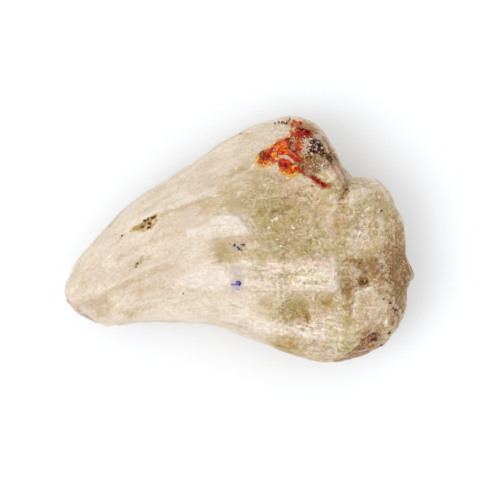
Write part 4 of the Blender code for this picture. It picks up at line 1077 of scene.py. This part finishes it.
def stoneMaterial(kinds):
    bench = NodeBench("fibrous ulexite")
    masks = bench.masks(kinds)
    fibre = bench.attribute("fibreFrame").outputs["Vector"]
    place = bench.node("ShaderNodeTexCoord", {}, {}).outputs["Object"]
    fields = {}
    for name, (stretch, *rest) in ulexite["streaks"].items():
        fields[name] = bench.noise(bench.vectors("MULTIPLY", fibre, stretch), 1.0, *rest)
    for name, (shift, *rest) in ulexite["specks"].items():
        fields[name] = bench.noise(bench.vectors("ADD", place, shift), *rest)

    # each drawn zone breaks up along its edge into streaks, blotches and grain
    rough = bench.maths("MULTIPLY_ADD", fields["streak"], 0.6, bench.times(fields["grain"], 0.35))
    rough = bench.maths("MULTIPLY_ADD", fields["blotch"], 1.05, rough)
    rough = bench.maths("SUBTRACT", rough, 1.0)
    tones = dict(ulexite["tones"])
    for kind, (field, low, high, first, second) in ulexite["mottles"].items():
        pair = [ulexite["tones"][name] for name in (first, second)]
        tones[kind] = bench.between(fields[field], low, high, *pair)

    tone = bench.between(fields["longStreak"], 0.36, 0.64, tones["creamShade"], tones["cream"])
    tone = bench.layered(tone, ulexite["grounds"], masks, rough, tones)
    tone = grainTexture(bench, tone, fields, place, masks["head"], masks["satin"])
    tone = speckTexture(bench, tone, fields, masks["head"], masks["peppered"])
    # crests get a painted highlight, paler, and hollows painted shade, browner
    tone = bench.blend(bench.ramped(masks["crest"], 0.56, 1.0, 0.0, 0.35), tone, tones["satin"])
    tone = bench.tinted(bench.ramped(masks["hollow"], 0.60, 1.0, 0.0, 0.40), tone, tones["hollow"])
    tone = bench.layered(tone, ulexite["marks"], masks, rough, tones)

    smooth, dull = ulexite["roughness"]
    sheen = bench.maths("ADD", fields["streak"], fields["grain"])
    fibreBump, grainBump = ulexite["bumps"]
    fine = bench.bump(bench.maths("MULTIPLY_ADD", fields["dashes"], 0.6, fields["streak"]), fibreBump)
    fine = bench.bump(fields["grain"], grainBump, fine)
    bench.finish(tone, bench.ramped(sheen, 0.75, 1.25, dull, smooth), fine, ulexite["specular"])
    bench.shader.inputs["IOR"].default_value = 1.5
    bench.shader.inputs["Subsurface Weight"].default_value = ulexite["subsurface"]
    bench.shader.inputs["Subsurface Radius"].default_value = [v * mm for v in ulexite["subsurfaceRadius"]]
    bench.shader.inputs["Subsurface Scale"].default_value = 1.0
    return bench.material


def makeStone():
    stone = copyOfNode("ulexite_stone", "rough_ulexite")
    bed = fitBed(stone)
    closePocket(stone, bed)
    head = sculptStone(stone)
    print("stone sculpted:", len(stone.data.polygons), "faces")
    kinds = paintStone(stone, head)
    print("stone painted:", len(kinds), "masks")
    stone.data.materials.append(stoneMaterial(kinds))
    selectOnly(stone)
    bpy.ops.object.shade_smooth()
    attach(stone, "root")
    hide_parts("ulexite_stone")
    print("stone finished")
    return stone, bed


stone, crustBed = makeStone()

# The crust of red crystals.
realgar = {
    "grow": 0.55,              # sideways, over the gap that the CAD leaves round the crust
    "voxel": 0.105,
    "sink": 0.45,              # bare parts of the crust lie this far under the stone's surface
    "rise": 0.85,              # and grown parts stand this much higher
    "grainSize": 0.62,
    "grainHeight": 0.34,
    "fineGrains": (0.30, 0.05),
    "crystals": 170,
    "crystalSize": (0.13, 0.27),
    "crystalForm": (1.0, 2.4, 5),  # radius, length and sides of the pattern that is copied
    "crystalTip": (0.66, 0.5),     # how far its end narrows and slants
    "seed": 5,
    # crystals strewn on the stone outside the crust: reach to each side, count, size and path
    "strewn": [
        (0.26, 70, 0.15, [(12.7, 11.1), (13.5, 10.5), (14.2, 10.0), (14.9, 9.6), (15.4, 9.4)]),
        (0.14, 20, 0.13, [(9.7, 13.0), (10.6, 12.2), (11.5, 11.5)]),
        (0.08, 14, 0.11, [(10.8, 13.9), (11.8, 13.2), (12.8, 12.3)]),
        (0.75, 46, 0.19, [(14.9, 15.0), (15.5, 14.4), (16.2, 13.7)]),
        (0.6, 30, 0.17, [(12.2, 14.2), (13.6, 13.6), (14.6, 14.8)]),
        (0.35, 26, 0.17, [(9.4, 20.3), (10.0, 20.5), (10.6, 20.2)]),
        (0.15, 12, 0.15, [(6.3, 20.4), (7.6, 20.6), (8.3, 20.3), (9.0, 21.0)]),
    ],
    "strewnWithin": (2.0, 18.0, 8.0),  # the part of the stone that holds them: x from, x to, y from
}
realgar["zones"] = {
    "red": [
        ("area", 1.0, 0.45, 0.3, [(3.5, 13.4), (3.8, 14.7), (4.6, 15.4), (5.3, 15.8), (5.9, 15.0),
            (5.6, 14.1), (4.9, 13.0), (4.1, 12.9)]),
        ("area", 1.0, 0.45, 0.3, [(4.8, 15.7), (5.4, 16.8), (6.8, 17.7), (8.6, 18.5), (8.8, 17.2),
            (8.7, 16.0), (8.2, 15.3), (7.0, 15.5), (6.2, 15.0)]),
        ("area", 1.0, 0.45, 0.3, [(5.3, 13.8), (5.5, 15.3), (6.9, 15.6), (6.9, 14.5), (6.4, 13.6)]),
        ("area", 1.0, 0.45, 0.3, [(6.8, 14.0), (7.8, 14.2), (8.6, 13.9), (9.4, 13.2), (10.2, 12.2),
            (9.7, 11.6), (8.8, 11.2), (7.8, 11.6), (7.1, 12.7)]),
        ("area", 1.0, 0.45, 0.3, [(9.9, 15.4), (9.8, 16.4), (10.3, 17.3), (11.2, 17.0), (11.4, 15.9),
            (10.9, 15.2)]),
        ("area", 1.0, 0.45, 0.3, [(9.1, 17.9), (9.2, 19.0), (10.3, 19.2), (11.4, 19.5), (12.4, 19.3),
            (12.5, 18.3), (11.6, 17.9), (10.4, 17.8)]),
        ("stroke", 1.0, 0.35, 0.2, 0.42, [(7.0, 15.2), (8.6, 15.2), (9.6, 14.4), (10.6, 13.6)]),
        ("stroke", 0.9, 0.3, 0.2, 0.24, [(8.8, 16.2), (10.2, 14.9), (11.4, 13.7), (12.8, 12.3)]),
        ("stroke", 1.0, 0.4, 0.1, 0.8, [(12.5, 11.3), (13.5, 10.5), (14.2, 10.0), (15.0, 9.5),
            (15.7, 9.5)]),
        ("stroke", 1.0, 0.4, 0.1, 0.5, [(9.6, 13.1), (10.6, 12.2), (11.7, 11.3)]),
        ("blobs", 1.0, 0.4, 0.1, [(9.9, 20.3, 0.8), (10.6, 20.2, 0.5)]),
    ],
    "core": [
        ("blobs", 1.0, 0.45, 0.3, [(4.7, 14.6, 0.75), (11.4, 18.8, 0.7), (10.2, 18.4, 0.35),
            (9.9, 16.0, 0.4), (5.7, 16.1, 0.35), (8.3, 13.0, 0.35), (10.2, 13.8, 0.35), (7.2, 13.4, 0.3),
            (12.2, 18.9, 0.4), (8.4, 17.6, 0.3)]),
        ("stroke", 0.95, 0.4, 0.1, 0.4, [(12.6, 11.2), (13.5, 10.6), (14.2, 10.1), (15.0, 9.6)]),
    ],
    "orange": [
        ("blobs", 1.0, 0.45, 0.3, [(7.5, 16.3, 0.75), (6.2, 14.5, 0.55), (8.3, 12.1, 0.6), (9.3, 12.3, 0.5),
            (5.3, 13.8, 0.35), (10.9, 16.5, 0.35), (6.6, 15.4, 0.4), (8.2, 15.6, 0.35), (4.0, 13.4, 0.35),
            (7.8, 17.2, 0.35), (7.6, 12.6, 0.35), (9.9, 20.4, 0.6), (15.4, 9.4, 0.2), (13.2, 10.4, 0.15)]),
    ],
    "rim": [
        ("stroke", 0.9, 0.35, 0.3, 0.55, [(3.4, 14.6), (3.2, 13.4), (3.9, 12.8), (4.9, 12.8), (5.5, 13.5)]),
        ("stroke", 0.85, 0.35, 0.3, 0.45, [(7.4, 12.0), (8.3, 11.2), (9.4, 11.3), (10.2, 11.9)]),
        ("stroke", 0.8, 0.35, 0.2, 0.3, [(4.7, 15.8), (6.6, 17.2), (8.6, 18.3)]),
        ("blobs", 0.9, 0.3, 0.2, [(6.9, 14.2, 0.35), (9.6, 19.3, 0.3), (9.7, 12.9, 0.2), (6.0, 15.1, 0.2)]),
    ],
    "dusk": [
        ("area", 1.0, 0.45, 0.3, [(12.2, 17.0), (12.7, 17.9), (14.2, 17.6), (15.2, 15.9), (14.4, 15.0),
            (12.9, 15.4), (12.0, 16.2)]),
        ("blobs", 0.95, 0.35, 0.2, [(11.9, 17.6, 0.3), (11.6, 16.3, 0.3), (12.4, 15.2, 0.3),
            (9.2, 17.0, 0.2)]),
        ("blobs", 1.0, 0.35, 0.1, [(15.2, 14.8, 0.5), (15.8, 14.2, 0.4), (16.4, 13.5, 0.3),
            (6.3, 20.4, 0.3), (7.2, 20.6, 0.4), (8.3, 20.3, 0.3), (9.0, 21.1, 0.3)]),
    ],
    "brass": [
        ("area", 0.95, 0.5, 0.4, [(11.0, 16.0), (11.4, 17.8), (12.6, 18.0), (13.2, 17.0), (12.6, 15.6),
            (13.8, 15.2), (14.2, 14.4), (13.4, 13.6), (12.0, 13.6), (11.2, 14.4)]),
        ("area", 0.8, 0.4, 0.3, [(9.0, 16.2), (9.0, 18.0), (9.8, 18.1), (9.9, 17.2), (9.6, 16.2)]),
    ],
    "sugar": [
        ("area", 1.0, 0.5, 0.3, [(10.8, 15.8), (10.8, 17.5), (11.6, 18.1), (12.9, 17.9), (13.0, 16.9),
            (12.4, 16.2), (12.9, 15.2), (11.8, 14.9)]),
        ("area", 0.45, 0.5, 0.3, [(12.4, 17.8), (14.0, 17.9), (15.2, 16.0), (14.4, 15.0), (12.8, 15.2)]),
        ("blobs", 1.0, 0.25, 0.1, [(6.0, 15.95, 0.18), (9.5, 19.5, 0.22), (4.6, 13.3, 0.1),
            (8.1, 16.9, 0.1)]),
    ],
}


def crustMasks(piece):
    points = pointsOf(piece)
    x, y = seenFromAbove(points)
    slideX, slideY = [
        0.45 * wander(points, 0.8, seed) + 0.35 * wander(points, 0.3, seed + 2) for seed in (53, 54)
    ]
    return {kind: maskOf(zone, x, y, slideX, slideY, 0.15) for kind, zone in realgar["zones"].items()}


def oneCrystal():
    # a stubby prism with a slanted end, one millimetre in radius, modelled once and copied
    radius, length, sides = realgar["crystalForm"]
    narrow, slant = realgar["crystalTip"]
    bpy.ops.object.select_all(action="DESELECT")
    bpy.ops.mesh.primitive_cylinder_add(vertices=sides, radius=radius * mm, depth=length * mm)
    pattern = bpy.context.active_object
    for vertex in pattern.data.vertices:
        if vertex.co.z > 0:
            vertex.co.z += slant * vertex.co.x
            vertex.co.x *= narrow
            vertex.co.y *= narrow
    return pattern


def studWithCrystals(crust, spots, facing, sizes):
    rng = random.Random(realgar["seed"])
    pattern = oneCrystal()
    copies = []
    for place, normal, size in zip(spots, facing, sizes):
        crystal = bpy.data.objects.new("crystal", pattern.data.copy())
        bpy.context.scene.collection.objects.link(crystal)
        lean = Vector((rng.uniform(-0.8, 0.8), rng.uniform(-0.8, 0.8), rng.uniform(-0.4, 0.4)))
        turn = (Vector(normal) + lean).to_track_quat("Z", "Y").to_matrix().to_4x4()
        spin = Matrix.Rotation(rng.uniform(0, 6.3), 4, "Z")
        stretch = Matrix.Diagonal((size, size, size * rng.uniform(0.8, 1.7), 1.0))
        crystal.data.transform(Matrix.Translation(Vector(place) * mm) @ turn @ spin @ stretch)
        copies.append(crystal)
    bpy.data.objects.remove(pattern)
    selectOnly(crust)
    for crystal in copies:
        crystal.select_set(True)
    bpy.ops.object.join()


def grainHeights(points):
    # each grain is a small tilted facet
    heights = []
    for spot in (points / realgar["grainSize"]).tolist():
        gaps, centres = noise.voronoi(spot)
        own = centres[0]
        tiltX, tiltY = math.sin(own[0] * 71.3 + own[1] * 13.7), math.cos(own[1] * 57.1 + own[2] * 29.9)
        tilt = tiltX * (spot[0] - own[0]) + tiltY * (spot[1] - own[1])
        heights.append(0.45 * tilt + 0.5 - 0.8 * gaps[0])
    size, height = realgar["fineGrains"]
    return realgar["grainHeight"] * np.array(heights) + height * wander(points, size, 52)


def strewnPlaces(rng):
    # each strewn crystal stands on the nearest point of the stone
    ground, slopes = pointsOf(stone), normalsOf(stone)
    x, y = seenFromAbove(ground)
    xFrom, xTo, yFrom = realgar["strewnWithin"]
    near = (slopes[:, 2] > 0.15) & (x > xFrom) & (x < xTo) & (y > yFrom)
    ground, slopes, x, y = ground[near], slopes[near], x[near], y[near]
    for reach, count, size, path in realgar["strewn"]:
        for _ in range(count):
            leg = rng.randrange(len(path) - 1)
            share = rng.random()
            (ax, ay), (bx, by) = path[leg], path[leg + 1]
            px = ax + share * (bx - ax) + rng.uniform(-reach, reach)
            py = ay + share * (by - ay) + rng.uniform(-reach, reach)
            nearest = int(np.argmin((x - px) ** 2 + (y - py) ** 2))
            place = ground[nearest] + np.array([px - x[nearest], py - y[nearest], 0.0])
            yield place, tuple(slopes[nearest]), size * rng.uniform(0.7, 1.3)


def shapeCrust(piece):
    points, normals = pointsOf(piece), normalsOf(piece)
    setPoints(piece, points + normals * np.array([1.0, 1.0, 0.0]) * realgar["grow"])
    applyModifier(piece, "REMESH", mode="VOXEL", voxel_size=realgar["voxel"] * mm)
    applyModifier(piece, "SMOOTH", factor=0.5, iterations=4)
    points, normals = pointsOf(piece), normalsOf(piece)
    masks = crustMasks(piece)
    grown = np.max([masks[kind] for kind in ("red", "rim", "dusk", "brass")], axis=0)
    top = eased(0.0, 0.5, normals[:, 2])
    level = bedTerms(points) @ crustBed
    wanted = level - realgar["sink"] + grown * (realgar["rise"] + grainHeights(points))
    points[:, 2] += top * (wanted - points[:, 2])
    setPoints(piece, points)

    rng = random.Random(realgar["seed"])
    able = [i for i in range(len(points)) if grown[i] > 0.8 and top[i] > 0.9]
    chosen = rng.sample(able, realgar["crystals"])
    crystals = [(points[i], (0.0, 0.0, 1.0), rng.uniform(*realgar["crystalSize"])) for i in chosen]
    crystals += strewnPlaces(rng)
    studWithCrystals(piece, *zip(*crystals))


realgar["tones"] = {
    "red": colour(238, 66, 22),
    "redDeep": colour(208, 36, 12),
    "orange": colour(252, 132, 44),
    "core": colour(168, 18, 8),
    "rim": colour(255, 208, 100),
    "dusk": colour(58, 26, 32),
    "duskRed": colour(128, 46, 32),
    "brass": colour(174, 130, 72),
    "brassPale": colour(226, 196, 150),
    "sugar": colour(244, 220, 196),
}
# zones from the lowest up, as on the stone; the red zones then lie on the brass, and the rest on both
realgar["reds"] = [("orange", 0.9, 0.30, 0.80, 0.90), ("core", 0.7, 0.35, 0.75, 0.92)]
realgar["redEdge"] = [("red", 0.4, 0.42, 0.62, 1.0)]
realgar["tops"] = [
    ("brass", 0.5, 0.40, 0.70, 0.92), ("rim", 0.6, 0.35, 0.75, 0.92), ("dusk", 0.6, 0.40, 0.65, 0.95),
]
realgar["facetScale"] = 2900.0
realgar["patches"] = (1100.0, 3.0, 0.6)
realgar["fineGrain"] = (4200.0, 2.0, 0.6)
realgar["roughness"] = (0.16, 0.45)
realgar["specular"] = 0.4
realgar["bump"] = 0.05


def crustMaterial(kinds):
    bench = NodeBench("realgar grains")
    masks, ramped = bench.masks(kinds), bench.ramped
    place = bench.node("ShaderNodeTexCoord", {}, {}).outputs["Object"]
    patches = bench.noise(place, *realgar["patches"])
    grain = bench.noise(place, *realgar["fineGrain"])
    facet = bench.cells(place, realgar["facetScale"])
    rough = bench.maths("SUBTRACT", bench.maths("MULTIPLY_ADD", facet[0], 0.7, patches), 0.85)
    tones = dict(realgar["tones"])
    tones["brass"] = bench.between(facet[1], 0.45, 0.75, realgar["tones"]["brass"], tones["brassPale"])
    tones["dusk"] = bench.between(facet[1], 0.45, 0.7, realgar["tones"]["dusk"], tones["duskRed"])

    # every facet has its own red, some are orange and some nearly black-red
    shade = bench.maths("MULTIPLY_ADD", facet[1], 0.55, bench.times(patches, 0.9))
    tone = bench.between(shade, 0.50, 0.85, tones["redDeep"], tones["red"])
    tone = bench.blend(ramped(facet[0], 0.72, 0.80, 0.0, 0.65), tone, tones["orange"])
    tone = bench.blend(ramped(facet[0], 0.20, 0.12, 0.0, 0.75), tone, tones["core"])
    tones["red"] = bench.layered(tone, realgar["reds"], masks, rough, tones)
    tone = bench.layered(tones["brass"], realgar["redEdge"], masks, rough, tones)
    tone = bench.layered(tone, realgar["tops"], masks, rough, tones)
    # single facets glint yellow, and the sugary parts glint white
    tone = bench.blend(ramped(facet[2], 0.92, 0.98, 0.0, 0.50), tone, tones["rim"])
    glint = bench.maths("MULTIPLY_ADD", masks["sugar"], 0.62, facet[2])
    tone = bench.blend(ramped(glint, 1.08, 1.16, 0.0, 0.92), tone, tones["sugar"])
    bump = bench.bump(bench.maths("ADD", facet[2], grain), realgar["bump"])
    bench.finish(tone, ramped(grain, 0.3, 0.7, *realgar["roughness"]), bump, realgar["specular"])
    return bench.material


def makeCrust():
    crust = copyOfNode("realgar_crust", "realgar_crystals")
    shapeCrust(crust)
    kinds = storeMasks(crust, crustMasks(crust))
    crust.data.materials.clear()
    crust.data.materials.append(crustMaterial(kinds))
    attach(crust, "root")
    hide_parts("realgar_crust")
    print("crust finished:", len(crust.data.polygons), "faces")


makeCrust()
